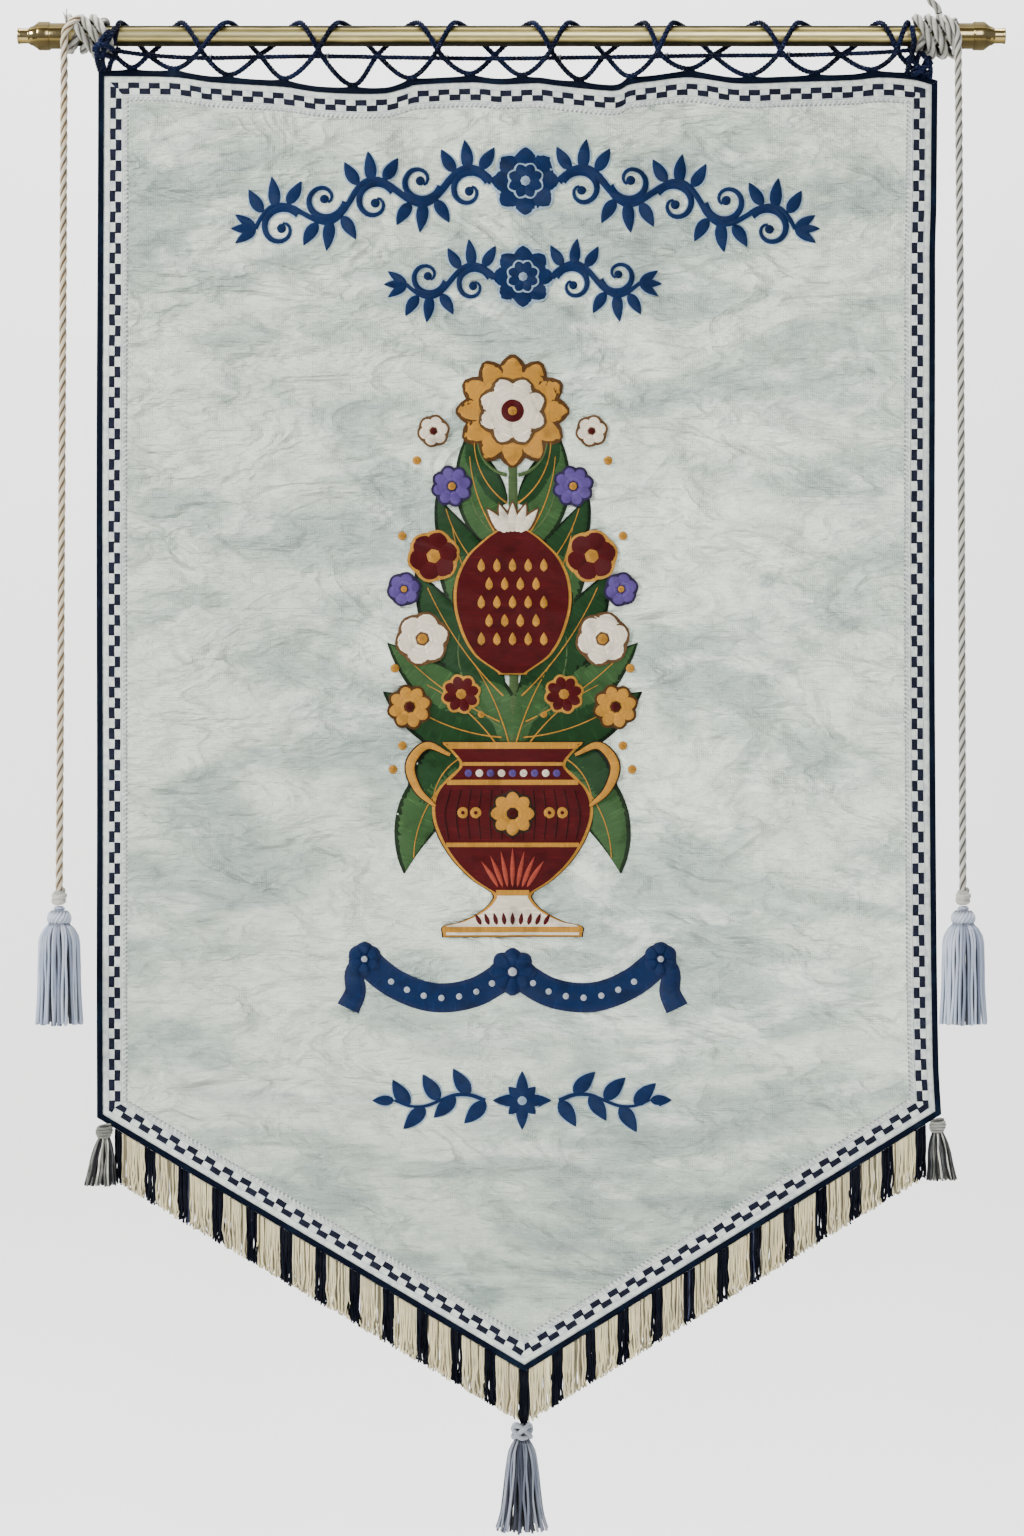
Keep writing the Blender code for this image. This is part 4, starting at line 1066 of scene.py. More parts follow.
def make_hitch(side, settings):
    """Rope turns that lean one way round the rod, and a second layer that leans back over them."""
    start, pitch, inner, lean, pitch_back, outer, lean_back, angle = HITCHES[side]
    total = 360.0 * (inner + outer)
    dense = []
    for i in range(361):
        turned = total * i / 360
        share = smooth_step((turned - 360.0 * inner + 60.0) / 120.0)
        along = pitch * min(turned, 360.0 * inner) / 360.0 + pitch * 0.35 * share
        along += pitch_back * max(0.0, turned - 360.0 * inner) / 360.0
        around = math.radians(angle + turned)
        tilt = lean + (lean_back - lean) * share
        out = HITCH_RADIUS + (HITCH_OUTER - HITCH_RADIUS) * share + 0.0009 * math.sin(3.0 * around) * share
        x = start + along + tilt * math.sin(around)
        dense.append(Vector((x, -out * math.cos(around), out * math.sin(around))))
    rope = Piece()

    # Painted shade: the rope is painted darker the nearer it lies to the rod, on the inner turns and in the
    # gaps between the outer ones.
    def buried(at):
        return 0.10 + 0.90 * smooth_step((math.hypot(at.y, at.z) - 0.0158) / 0.0056)

    tints = shades(4, 3, 0.30)
    route = even_route(dense, 0.0022)
    # Painted shade down in the rope's grooves.
    groove = (0.10, 0.095, 0.085)
    rope.strands(route, HITCH_ROPE_R, HITCH_LAY, 3, 10, tints, share=0.58, groove=groove, buried=buried)
    if side == "left":
        for lean, tall in WISP_HAIRS:
            bends = (Vector(), Vector((lean * 0.3, 0.0015, tall * 0.5)), Vector((lean, 0.0020, tall)))
            rope.tube(smooth_route([WISP_ROOT + bend for bend in bends], HAIR_STEP), 0.0007, 5)
    rope.make("hitch_" + side, hitch_yarn(settings), replaces=["rope_knot_" + side], slot="rope")


def rope_start(side):
    """The bend of a side rope from its hitch's lowest front turn to where it hangs."""
    x = SIDE_ROPES[side][0][0]
    bends = ((0.0160, -0.0175, 0.0170), (0.0085, -0.0225, 0.0105), (0.0025, -0.0225, 0.0020))
    return [Vector((x - SIGN[side] * inward, y, z)) for inward, y, z in bends]


def make_slip_knot(side, finish):
    """The bead of rope turns where a side rope enters its tassel."""
    x = TASSEL_X[side]
    knot = Piece()
    centre = Vector((x, ROPE_Y, BEAD_Z))
    # The core is painted a little darker, as painted shade under the rope's turns.
    knot.turned(BEAD_CORE, 24, "Z", (0.8, 0.8, 0.8))
    knot.move((x, ROPE_Y, 0.0))
    dense = []
    for i in range(97):
        around = math.tau * 2.25 * i / 96
        height = 0.0062 * (1 - 2 * i / 96) + 0.0024 * math.sin(around + 0.6)
        reach = 0.0056 - 0.0018 * (2 * i / 96 - 1) ** 2
        dense.append(centre + around_z(reach, around, height))
    knot.tube(even_route(dense, 0.0014), 0.0032, 10)
    return knot.make("rope_bead_" + side, finish, replaces=["slip_knot_" + side], slot="rope")


def make_side_rope(side, settings):
    """A free rope and the bead at its end."""
    start = rope_start(side)
    points = start + [Vector((x, ROPE_Y, z)) for x, z in SIDE_ROPES[side]]
    route = smooth_route(points, 0.0026)
    rope = Piece()
    tints = [(1.0, 1.0, 1.0), (0.90, 0.88, 0.84), (0.97, 0.96, 0.94)]
    # Painted shade down in the grooves: brown on the left rope, where it is dirt as well, and grey on the
    # right.
    groove = (0.20, 0.125, 0.060)
    if side == "right":
        tints = [(0.90, 0.98, 1.16), (0.80, 0.86, 0.98), (0.86, 0.94, 1.10)]
        groove = (0.10, 0.10, 0.09)
    rope.strands(route, ROPE_R, settings.lay, 3, 10, tints, groove=groove)
    finish = finish_once("side_rope", yarn_finish, settings.rope, (0.66, 0.61, 0.49))
    made = rope.make("side_rope_" + side, finish, replaces=["rope_" + side], slot="rope")
    bead = make_slip_knot(side, hitch_yarn(settings))
    reach = sum_length(route)
    [tuple(point) for point in route]


def make_sling(settings):
    """The rope and its loop above the right hitch, and the seizing that closes the loop."""
    route = smooth_route(upright(SLING), 0.0024)
    finish = hitch_yarn(settings)
    rope = Piece()
    rope.strands(route, ROPE_R, settings.lay, 3, 9, shades(9, 3, 0.12))
    made = rope.make("sling", finish, replaces=["sling_rope", "sling_loop"], slot="rope")
    knot = Piece()
    knot.tube(plait(upright([SLING_KNOT])[0], 0.0078, 0.0062, 0.0012, 4, 0.9, 0.0014), 0.0030, 8)
    bead = knot.make("sling_seizing", finish, replaces=["sling_knot"], slot="rope")
    reach = sum_length(route)
    tuple(route[0])
    [tuple(point) for point in route]


def lacing_wrap(front_x, crest_x, back_x):
    """The part of a lacing cord that goes over the rod, from the front to the back."""
    turn = []
    for angle in WRAP_ANGLES:
        share = (angle - WRAP_ANGLES[0]) / (90.0 - WRAP_ANGLES[0])
        x = front_x + (crest_x - front_x) * share
        if angle > 90.0:
            x = crest_x + (back_x - crest_x) * (angle - 90.0) / (WRAP_ANGLES[-1] - 90.0)
        around = math.radians(angle)
        turn.append(Vector((x, -WRAP_R * math.cos(around), WRAP_R * math.sin(around))))
    return turn


def edge_bend(x):
    """The bend of a lacing cord where it is sewn to the binding's top edge."""
    z = top_z(x)
    return Vector((x, fold_depth(x, z), z + LACING_R))


def front_run(cord, row):
    """From a bend at the banner's edge through the front crossing and over the rod."""
    bend, crossing, crest, under = row
    turn = lacing_wrap(crossing + (crest - crossing) * FRONT_LEAN, crest, under)
    return [edge_bend(bend), Vector((crossing, FRONT_Y[cord], FRONT_CROSSING_Z)), *turn]


def lacing_routes():
    """The points of both cords, laced from the left and from the right."""
    first = [Vector(LACING_A_TAIL), *lacing_wrap(*LACING_A_START)]
    for row, behind in zip(LACING_A, BACK_CROSSINGS):
        first += [Vector((behind, BACK_Y["a"], BACK_CROSSING_Z)), *front_run("a", row)]
    first.append(edge_bend(LACING_A_END))
    second = []
    for row, behind in zip(LACING_B, reversed(BACK_CROSSINGS)):
        second += [*front_run("b", row), Vector((behind, BACK_Y["b"], BACK_CROSSING_Z))]
    second += [edge_bend(LACING_B_LAST), Vector(LACING_B_END)]
    return {"a": first, "b": second}


def navy_cord(lines, name, settings, replaces, radius=LACING_R):
    """One piece of twisted navy cord along each line of points."""
    cord = Piece()
    for line in lines:
        cord.strands(smooth_route(line, NAVY_STEP), radius, NAVY_LAY, 3, 6, shades(7, 3, 0.3))
    finish = finish_once("navy_twist", yarn_finish, settings.navy, (0.008, 0.014, 0.050), settings.painted_glint)
    cord.make(name, finish, replaces=replaces, slot="navy_cord")


def make_lacing(settings):
    for cord, points in lacing_routes().items():
        navy_cord([points], "lacing_" + cord, settings, ["lacing_cord_" + cord])


def make_header_cord(settings):
    """The cord under the rod, which follows the folds of the top edge a little."""
    points = [Vector((x, fold_depth(x, top_z(x)) * HEADER_FOLLOW, z)) for x, z in HEADER_CORD]
    navy_cord([points], "header_line", settings, ["header_cord"], radius=HEADER_R)


def make_corner_tie(side, settings):
    """Navy cords that lash the binding's top corner to the hitch and to the header cord."""
    sign = SIGN[side]
    lines = [[Vector((sign * (440 + x), y, z)) / 1000 for x, y, z in line] for line in CORNER_TIES[side]]
    navy_cord(lines, "corner_lashing_" + side, settings, ["corner_tie_" + side], radius=LASHING_R)


def make_thread_ties():
    """Pale thread ties that hold the header cord to each front crossing."""
    chance = random.Random(12)
    ties = Piece()
    for row in LACING_A[:-1]:
        crossing = row[1]
        for loop in range(3):
            x = crossing + 0.007 + 0.0016 * loop
            z = smooth_value(HEADER_CORD, x)
            points = []
            for i in range(13):
                around = math.tau * i / 12 + chance.random() * 0.3
                lean = 0.0015 * math.sin(around * 0.5 + loop)
                reach = 0.0030 + 0.0007 * chance.random()
                out, up = reach * math.cos(around), reach * math.sin(around)
                points.append(Vector((x + lean, out - 0.001, z + up)))
            ties.tube(smooth_route(points, HAIR_STEP), 0.00045, 5)
        start = Vector((crossing + 0.009, -0.0035, smooth_value(HEADER_CORD, crossing) - 0.001))
        tail = [start, start + Vector((0.002, -0.0015, -0.003)), start + Vector((0.0015, -0.002, -0.008))]
        ties.tube(smooth_route(tail, HAIR_STEP), 0.0004, 5)
    finish = finish_once("tie_thread", yarn_finish, (0.42, 0.43, 0.42), (0.16, 0.17, 0.20))
    ties.make("thread_ties", finish, slot="rope")


# Panel, braid and binding

STRIPS = {  # direction along each trim
    "top": Vector((1, 0, 0)),
    "left": Vector((0, 0, -1)),
    "right": Vector((0, 0, -1)),
    "foot_left": (POINT - LEFT_CORNER).normalized(),
    "foot_right": (RIGHT_CORNER - POINT).normalized(),
}
BINDING_WIDTH = 0.00670
BINDING_HALF = 0.0019  # half of the folded tape's thickness
BINDING_PULL = (0.0034, 0.0062)  # how far a lacing cord pulls the top edge up, and over what distance
BENDS = [row[0] for row in LACING_A + LACING_B] + [LACING_A_END, LACING_B_LAST]
BRAID_OUTER = 0.00645
BRAID_INNER = 0.0336
BRAID_LIFT = 0.0007
BRAID_CROWN = 0.0009


def strip_point(strip, share, inset):
    """The point of a trim at a share of its length and an inset from the panel's edge, as (x, z)."""
    lean = 1 / math.cos(SLOPE)
    if strip == "top":
        start, end = edge_x("left", TOP_LINE) + inset, edge_x("right", TOP_LINE) - inset
        x = start + (end - start) * share
        return x, top_z(x) - inset
    if strip in ("left", "right"):
        inward = -SIGN[strip] * inset
        corner = LEFT_CORNER if strip == "left" else RIGHT_CORNER
        high_x, low_x = edge_x(strip, TOP_LINE) + inward, edge_x(strip, corner.z) + inward
        start, end = top_z(high_x) - inset, foot_z(low_x) + inset * lean
        z = start + (end - start) * share
        return edge_x(strip, z) + inward, z
    start, end = edge_x("left", LEFT_CORNER.z) + inset, POINT.x
    if strip == "foot_right":
        start, end = POINT.x, edge_x("right", RIGHT_CORNER.z) - inset
    x = start + (end - start) * share
    return x, foot_z(x) + inset * lean


def make_panel(settings):
    """The silk, to just inside the binding's outer edge."""
    panel = Piece()

    def place(u, v):
        height = TOP_LINE + (LEFT_CORNER.z - TOP_LINE) * (1 - v)
        left, right = edge_x("left", height) + CLOTH_EDGE, edge_x("right", height) - CLOTH_EDGE
        middle = POINT.x
        x = left + (middle - left) * u * 2 if u <= 0.5 else middle + (right - middle) * (u - 0.5) * 2
        top = top_z(x) - CLOTH_EDGE
        foot = foot_z(x) + CLOTH_EDGE / math.cos(SLOPE)
        z = foot + (top - foot) * v
        return on_cloth(x, z, settings.thickness / 2), (x, z)

    panel.sheet((200, 330), place)
    silk = finish_once("stained_silk", silk_finish, settings)
    made = panel.make("silk_panel", silk, closed=False, replaces=["banner_panel"], slot="silk")
    cloth = made.modifiers.new("cloth thickness", "SOLIDIFY")
    cloth.thickness = settings.thickness
    cloth.offset = -1.0
    return made


def make_braid(strip, settings):
    """A flat band just inside the binding, a little thicker in its middle."""
    along = STRIPS[strip]
    count = {"top": 200, "left": 220, "right": 220}.get(strip, 110)
    first, last = (BRAID_OUTER, BRAID_INNER) if strip == "left" else (BRAID_INNER, BRAID_OUTER)
    braid = Piece()

    def place(u, v):
        inset = first + (last - first) * v
        x, z = strip_point(strip, 1 - u if strip in ("left", "right") else u, inset)
        crown = BRAID_CROWN * (1 - (2 * (inset - BRAID_OUTER) / (BRAID_INNER - BRAID_OUTER) - 1) ** 8)
        point = on_cloth(x, z, BRAID_LIFT + crown)
        return point, (point.dot(along), inset - BRAID_OUTER)

    braid.sheet((count, 12), place)
    finish = finish_once("check_braid", braid_finish, settings)
    name = "braid_" + strip
    return braid.make("check_" + name, finish, closed=False, replaces=[name], slot="braid")


def make_binding(strip, settings):
    """Tape folded over the panel's edge: down its front, round the edge and up its back."""
    along = STRIPS[strip]
    count = {"top": 220, "left": 160, "right": 160}.get(strip, 90)
    half = BINDING_HALF
    flat = BINDING_WIDTH - half
    tape = Piece()

    def place(u, v):
        if v < 0.3:
            inset, depth = half + flat * (0.3 - v) / 0.3, -half
        elif v > 0.7:
            inset, depth = half + flat * (v - 0.7) / 0.3, half
        else:
            turn = math.pi * (v - 0.5) / 0.4
            inset, depth = half * (1 - math.cos(turn)), half * math.sin(turn)
        x, z = strip_point(strip, u, inset)
        if strip == "top":
            pull = max(math.exp(-abs((x - bend) / BINDING_PULL[1])) for bend in BENDS)
            z += BINDING_PULL[0] * pull * (1 - inset / BINDING_WIDTH)
        point = on_cloth(x, z, 0.0)
        ripple = noise.noise(Vector((point.dot(along) * 60.0, math.pi * (v - 0.5), 1.0)))
        point.y += depth * (1.0 + 0.10 * ripple)
        return point, (point.dot(along), v * 0.018)

    tape.sheet((count, 20), place)
    finish = finish_once("binding_tape", tape_finish, settings.binding)
    replaced = ["binding_" + strip]
    return tape.make("binding_tape_" + strip, finish, closed=False, replaces=replaced, slot="navy_binding")


# Fringe and tassels


def thread_line(root, drop, sway, chance):
    """A hanging thread with slight bends."""
    points = [root]
    for share in (0.2, 0.45, 0.7, 0.88, 1.0):
        swing = sway * share
        offset = Vector(((chance.random() - 0.5) * swing, (chance.random() - 0.5) * swing, -drop * share))
        points.append(root + offset)
    return smooth_route(points, drop / 9)


def navy_yarn(settings):
    return finish_once("fringe_navy", yarn_finish, settings.navy, (0.009, 0.010, 0.016))


def make_fringe(side, settings):
    """Three layers of threads on one slope, in cream and navy blocks from the point outwards."""
    chance = random.Random(31 if side == "left" else 57)
    end = abs(FRINGE_ENDS[side] - POINT.x)
    cream, navy = Piece(), Piece()
    for layer, (depth, layer_shade) in enumerate(THREAD_LAYERS):
        for index in range(-THREADS_PAST_POINT, int(end / THREAD_PITCH)):
            distance = (index + 0.5 + 0.33 * layer) * THREAD_PITCH
            if distance > end:
                continue
            along = distance / BLOCK_SHARE[side] - NAVY_BLOCK / 2
            pale = along > 0.0 and along % (CREAM_BLOCK + NAVY_BLOCK) < CREAM_BLOCK
            x = POINT.x + SIGN[side] * distance
            root = Vector((x + 0.0005 * (chance.random() - 0.5), depth, foot_z(x) - 0.0004))
            drop = settings.drop + 0.0050 * (chance.random() - 0.55)
            sway = 0.0045 if pale else 0.0040
            if layer == 0 and chance.random() < MISSING_THREADS:
                continue
            # The thread's random tone times its layer's painted light and shade.
            shade = (1.0 - 0.22 * chance.random()) * layer_shade
            warm = 1.0 - 0.07 * chance.random()
            tint = (shade, shade * warm, shade * warm * (1.0 - 0.10 * chance.random()))
            if not pale:
                # Navy threads: a random tone, and a few painted pale as painted highlights.
                tone_and_painted_highlight = 0.55 + 0.9 * chance.random() + (6.0 if chance.random() < PAINTED_HIGHLIGHT_SHARE else 0.0)
                tint = (tone_and_painted_highlight, tone_and_painted_highlight, tone_and_painted_highlight)
            line = thread_line(root, drop, sway, chance)
            (cream if pale else navy).tube(line, THREAD_R, 5, tint)
    cream_yarn = finish_once("fringe_cream", yarn_finish, settings.cream, (0.66, 0.61, 0.40))
    made = []
    for name, threads, yarn in (("cream", cream, cream_yarn), ("navy", navy, navy_yarn(settings))):
        made.append(threads.make(f"fringe_{name}_{side}", yarn, replaces=["fringe_" + side], slot="fringe"))
    return made


def tassel_skirt(piece, top, profile, locks, radius, layers, seed, tints, lean=(0, 0), depth=1.0, wave=0.03):
    """Locks that hang round an axis; the profile gives (drop, radius of the skirt)."""
    chance = random.Random(seed)
    total = profile[-1][0]

    def axis_x(z):
        return top.x + lean[0] * (top.z - z) / total

    for layer in range(layers):
        inward = 1.0 - 0.30 * layer
        count = max(5, round(locks * inward))
        for index in range(count):
            around = math.tau * (index + 0.5 * layer + 0.35 * (chance.random() - 0.5)) / count
            tint = tints[chance.randrange(len(tints))]
            points = []
            sway = 0.10 * (chance.random() - 0.5)
            cut_short = 1.0 - 0.03 * chance.random()
            for drop, reach in profile:
                share = drop / total
                turn = around + sway * share * share * 2.0 + wave * math.sin(9.0 * share + 2.0 * index)
                point = around_z(reach * inward - radius, turn, -drop * cut_short)
                point.y *= depth
                points.append(top + point + Vector((lean[0] * share, lean[1] * share, 0.0)))
            hang = smooth_route(points, total / 14)
            spread = [smooth_value(profile, top.z - point.z) for point in hang]

            # Painted shade: the locks are painted darker the nearer they lie to the skirt's axis.
            def shade(at, ring):
                away = math.hypot(at.x - axis_x(at.z), (at.y - top.y) / depth)
                return [0.14 + 0.86 * smooth_step((away / spread[ring] - 0.86) / 0.15)] * 3

            piece.tube(hang, radius, 6, tint, shade)


def make_side_tassel(side, settings):
    """A head of slanting yarn ridges with a collar, over a skirt of locks."""
    x = TASSEL_X[side]
    tassel = Piece()
    tassel.turned(SIDE_HEAD, 28, "Z")
    tassel.move((x, ROPE_Y, 0.0))
    middle = Vector((x, ROPE_Y, SIDE_HEAD_MIDDLE))

    # Painted shade between the ridges, darker nearer the head's axis.
    def ridge_shade(at, ring):
        away = math.hypot(at.x - x, at.y - ROPE_Y)
        return [0.34 + 0.66 * smooth_step((away - 0.0092) / 0.0040)] * 3

    for index in range(SIDE_RIDGES):
        around = math.tau * index / SIDE_RIDGES
        points = []
        for share in (0.0, 0.2, 0.4, 0.6, 0.8, 1.0):
            swell = math.sin(math.pi * (0.06 + 0.88 * share))
            reach = 0.0058 + 0.0058 * swell**0.8
            points.append(middle + around_z(reach, around - 0.95 * share, 0.0070 - 0.0140 * share))
        tassel.tube(smooth_route(points, 0.0015), 0.0021, 8, (1.12, 1.10, 1.06), ridge_shade)
    collar = Vector((x, ROPE_Y, SIDE_COLLAR_Z))
    tassel.tube([collar + around_z(0.0052, math.tau * i / 24, 0.0) for i in range(25)], 0.0013, 6)
    top = Vector((x, ROPE_Y, SIDE_SKIRT_TOP))
    tassel_skirt(tassel, top, SIDE_SKIRT, 35, 0.0018, 2, 5 if side == "left" else 6, SIDE_TINTS)
    finish = finish_once("side_tassel", yarn_finish, settings.lavender, (0.56, 0.60, 0.70))
    return tassel.make("side_tassel_" + side, finish, replaces=["tassel_" + side], slot="lavender")


def wound_route(centre, radius, height, turns):
    """The route of a cord that is wound down round a tassel's neck, widest half way."""
    dense = []
    for i in range(24 * turns + 1):
        around = math.tau * i / 24
        share = i / (24 * turns)
        out = radius * (0.80 + 0.30 * math.sin(math.pi * share))
        rise = height * (1 - 2 * share) + 0.0014 * math.sin(around + 0.8)
        dense.append(centre + around_z(out, around, rise))
    return even_route(dense, 0.0010)


def small_knot(piece, centre, radius, height, route, cord, tint, depth=1.0):
    """The first shape of a small tassel: a head of cord along a route over a round core."""
    outline = ((1.0, 0.0), (0.8, 0.6), (0.0, 0.9), (-0.8, 0.6), (-1.0, 0.0))
    # The core is painted dark, as painted shade between the turns of cord.
    piece.turned([(height * up, radius * out) for up, out in outline], 16, "Z", (0.4, 0.4, 0.4))
    for vert in piece.bm.verts:
        vert.co.y *= depth
    piece.move(centre)
    for point in route:
        point.y = centre.y + (point.y - centre.y) * depth
    piece.tube(route, cord, 7, tint)


def make_corner_tassel(side, settings):
    """A wound head over a flat skirt that leans out and forward."""
    head_x, foot_x, head_r, skirt_r, top = CORNER_TASSELS[side]
    tassel = Piece()
    centre = Vector((head_x, CORNER_LEAN_Y[0] - 0.001, top - 0.0075))
    route = wound_route(centre, head_r * 0.80, 0.0058, 4)
    small_knot(tassel, centre, head_r * 0.78, 0.0068, route, 0.0016, (1.45, 1.45, 1.35), 0.7)
    profile = (
        (0.0, head_r * 0.62),
        (0.008, head_r * 1.0),
        (0.020, head_r * 1.35),
        (0.036, skirt_r * 0.86),
        (0.0525, skirt_r * 1.02),
    )
    root = Vector((head_x, CORNER_LEAN_Y[0], top - 0.0135))
    lean = (foot_x - head_x, CORNER_LEAN_Y[1] - CORNER_LEAN_Y[0])
    seed = 3 if side == "left" else 4
    tassel_skirt(tassel, root, profile, 26, 0.0012, 3, seed, CORNER_TINTS, lean, 0.62, 0.07)
    finish = finish_once("corner_yarn", yarn_finish, settings.grey, (0.25, 0.25, 0.24))
    tassel.make("corner_knot_tassel_" + side, finish, replaces=["corner_tassel_" + side], slot="grey")


def make_point_tassel(settings):
    """A plaited head over a flared skirt, and the cord that it hangs on."""
    x, y = POINT_TASSEL
    tassel = Piece()
    centre = Vector((x, y, POINT_KNOT_Z))
    route = plait(centre, 0.0092, 0.0066, 0.0009, 4, 0.3, 0.0011)
    small_knot(tassel, centre, 0.0092, 0.0088, route, 0.0026, (1.35, 1.35, 1.3))
    top = Vector((x, y, POINT_SKIRT_TOP))
    tassel_skirt(tassel, top, POINT_SKIRT, 36, 0.0015, 3, 8, POINT_TINTS, wave=0.06)
    finish = finish_once("point_yarn", yarn_finish, settings.point, (0.27, 0.29, 0.33))
    tassel.make("point_knot_tassel", finish, replaces=["point_tassel"], slot="grey")
    hanger = Piece()
    line = [Vector((x, y, z)) for z in HANGER_Z]
    hanger.strands(smooth_route(line, 0.0012), 0.0022, 0.009, 2, 6, shades(2, 2, 0.3), share=0.6)
    hanger.make("point_cord", navy_yarn(settings), replaces=["point_hanger"], slot="navy_cord")


# Embroidery

MOSS = (0.034, 0.082, 0.026)
SILVER = (0.46, 0.50, 0.54)
DARK_EDGE = (0.018, 0.010, 0.005)
BROWN_EDGE = (0.10, 0.05, 0.02)
OCHRE_EDGE = (0.42, 0.20, 0.03)
NIGHT_EDGE = (0.020, 0.014, 0.045)
BLUE_EDGE = (0.010, 0.018, 0.060)


def motif_spot(x, height):
    """A place (x, z) on the silk, from the urn's middle and from its foot."""
    return MOTIF_X + x, MOTIF_FOOT + height


def arc_line(start, heading, reach, bend, count=10):
    """Points (x, z) of a stroke that starts at a heading in degrees and turns by bend over its length."""
    x, z = start
    points = [(x, z)]
    for index in range(count):
        angle = math.radians(heading + bend * (index + 0.5) / count)
        x += math.cos(angle) * reach / count
        z += math.sin(angle) * reach / count
        points.append((x, z))
    return points


WIDTHS = {  # width of a stroke along its length, as a share of its widest
    "leaf": lambda t: math.sin(math.pi * t**0.75) ** 0.85,
    "petal": lambda t: math.sin(math.pi * (0.12 + 0.86 * t) ** 1.5) ** 0.7,
    "stem": lambda t: 1.0 - 0.45 * t,
    "stroke": lambda t: 0.35 + 0.65 * math.sin(math.pi * t),
    "band": lambda t: 1.0,
    "scroll": lambda t: 1.0 - 0.72 * t,
    "tail": lambda t: 0.70 + 0.30 * t,
}


def stitch_shape(piece, line, width, kind, tint, padding, steps=(14, 6), rise=0.0):
    """A padded shape of satin stitches along a line of (x, z) points; rise lifts it over other shapes."""
    reach = sum_length(line)
    route = smooth_route(upright(line), reach / steps[0])
    last = len(route) - 1
    profile = WIDTHS[kind]

    def place(u, v):
        index = round(u * last)
        along = (route[min(index + 1, last)] - route[max(index - 1, 0)]).normalized()
        across = Vector((-along.z, 0.0, along.x))
        wide = max(0.02, profile(u)) * width
        off = (v - 0.5) * wide
        crown = padding * (1 - (2 * v - 1) ** 2) ** 0.5 * min(1.0, profile(u) + 0.25)
        at = route[index] + across * off
        return on_cloth(at.x, at.z, STITCH_LIFT + rise + crown), (u * reach, off)

    piece.sheet((last, steps[1]), place, tint)


def roundel(piece, centre, radius, tint, padding, rise=0.0):
    """A padded disc."""
    x, z = centre

    def place(u, v):
        around = -math.tau * u
        out = radius * (1 - v)
        crown = padding * (1 - (1 - v) ** 2) ** 0.5
        at = (x + out * math.cos(around), z + out * math.sin(around))
        return on_cloth(at[0], at[1], STITCH_LIFT + rise + crown), (u * math.tau * radius, out)

    piece.sheet((24, 4), place, tint)


def flower(piece, centre, radius, petals, tint, heart, edge, padding, turn=0.0, rim=0.0026, rise=0.0):
    """Petals with a rim of another colour round a heart."""
    x, z = centre
    wide = 2.2 * radius * math.sin(math.pi / petals) * 0.92
    for index in range(petals):
        heading = turn + 360.0 * index / petals
        angle = math.radians(heading)
        start = (x + 0.18 * radius * math.cos(angle), z + 0.18 * radius * math.sin(angle))
        reach = radius * 0.82
        outer, inner = arc_line(start, heading, reach, 0), arc_line(start, heading, reach - rim, 0)
        stitch_shape(piece, outer, wide, "petal", edge, padding * 0.8, (9, 6), rise)
        stitch_shape(piece, inner, wide - 1.6 * rim, "petal", tint, padding * 1.25, (9, 6), rise)
    roundel(piece, centre, radius * 0.30, edge, padding * 1.6, rise)
    roundel(piece, centre, radius * 0.23, heart, padding * 2.2, rise)


def finish_stitches(work, name):
    """Makes one piece of all the stitched shapes so far."""
    work.make(name, finish_once("satin_stitch", stitch_finish), closed=False)


def make_urn(settings):
    """A footed urn in red and gold, with its bouquet above it."""
    work = Piece()
    pad = settings.padding

    def both(start, heading, reach, bend, width, kind, tint, lift=1.0, steps=(14, 6)):
        line = arc_line(motif_spot(*start), heading, reach, bend)
        for side in (line, [(2 * MOTIF_X - x, z) for x, z in line]):
            stitch_shape(work, side, width, kind, tint, pad * lift, steps)

    def leaf(start, heading, reach, bend, width, tint):
        dark = tuple(value * 0.22 for value in tint)
        both(start, heading, reach, bend, width, "leaf", dark, 0.4, (30, 10))
        both(start, heading, reach * 0.97, bend, width - 0.0052, "leaf", tint, 1.25, (30, 10))
        both(start, heading, reach * 0.86, bend, 0.0026, "stem", settings.gold, 1.8, (26, 4))

    green = tuple(settings.green)
    stem = [motif_spot(0.0, 0.205), motif_spot(0.002, 0.330), motif_spot(0.0, 0.520)]
    stitch_shape(work, stem, 0.010, "band", (0.050, 0.085, 0.030), pad, (24, 5))
    for start, heading, reach, bend, width, tint in (
        ((0.003, 0.205), 76.0, 0.110, -18.0, 0.044, MOSS),
        ((0.016, 0.205), 56.0, 0.120, -30.0, 0.050, green),
        ((0.030, 0.200), -2.0, 0.128, -108.0, 0.058, green),
        ((0.044, 0.190), -30.0, 0.150, -58.0, 0.056, MOSS),
        ((0.012, 0.215), 4.0, 0.140, 34.0, 0.056, green),
        ((0.014, 0.232), 24.0, 0.150, 22.0, 0.052, MOSS),
        ((0.010, 0.260), 44.0, 0.168, 22.0, 0.060, green),
        ((0.008, 0.320), 50.0, 0.160, 30.0, 0.058, MOSS),
        ((0.008, 0.375), 34.0, 0.130, 40.0, 0.046, green),
        ((0.006, 0.420), 50.0, 0.128, 36.0, 0.046, MOSS),
        ((0.006, 0.470), 34.0, 0.095, 58.0, 0.036, green),
    ):
        leaf(start, heading, reach, bend, width, tint)
    for start, heading, reach, bend in (
        ((0.010, 0.225), 30.0, 0.120, 70.0),
        ((0.008, 0.330), 20.0, 0.110, 70.0),
        ((0.006, 0.430), 20.0, 0.085, 80.0),
        ((0.006, 0.500), 10.0, 0.060, 90.0),
    ):
        both(start, heading, reach, bend, 0.0042, "stem", (0.060, 0.100, 0.035), 1.6)
    make_urn_body(work, settings)
    make_flowers(work, settings)
    finish_stitches(work, "embroidered_urn")


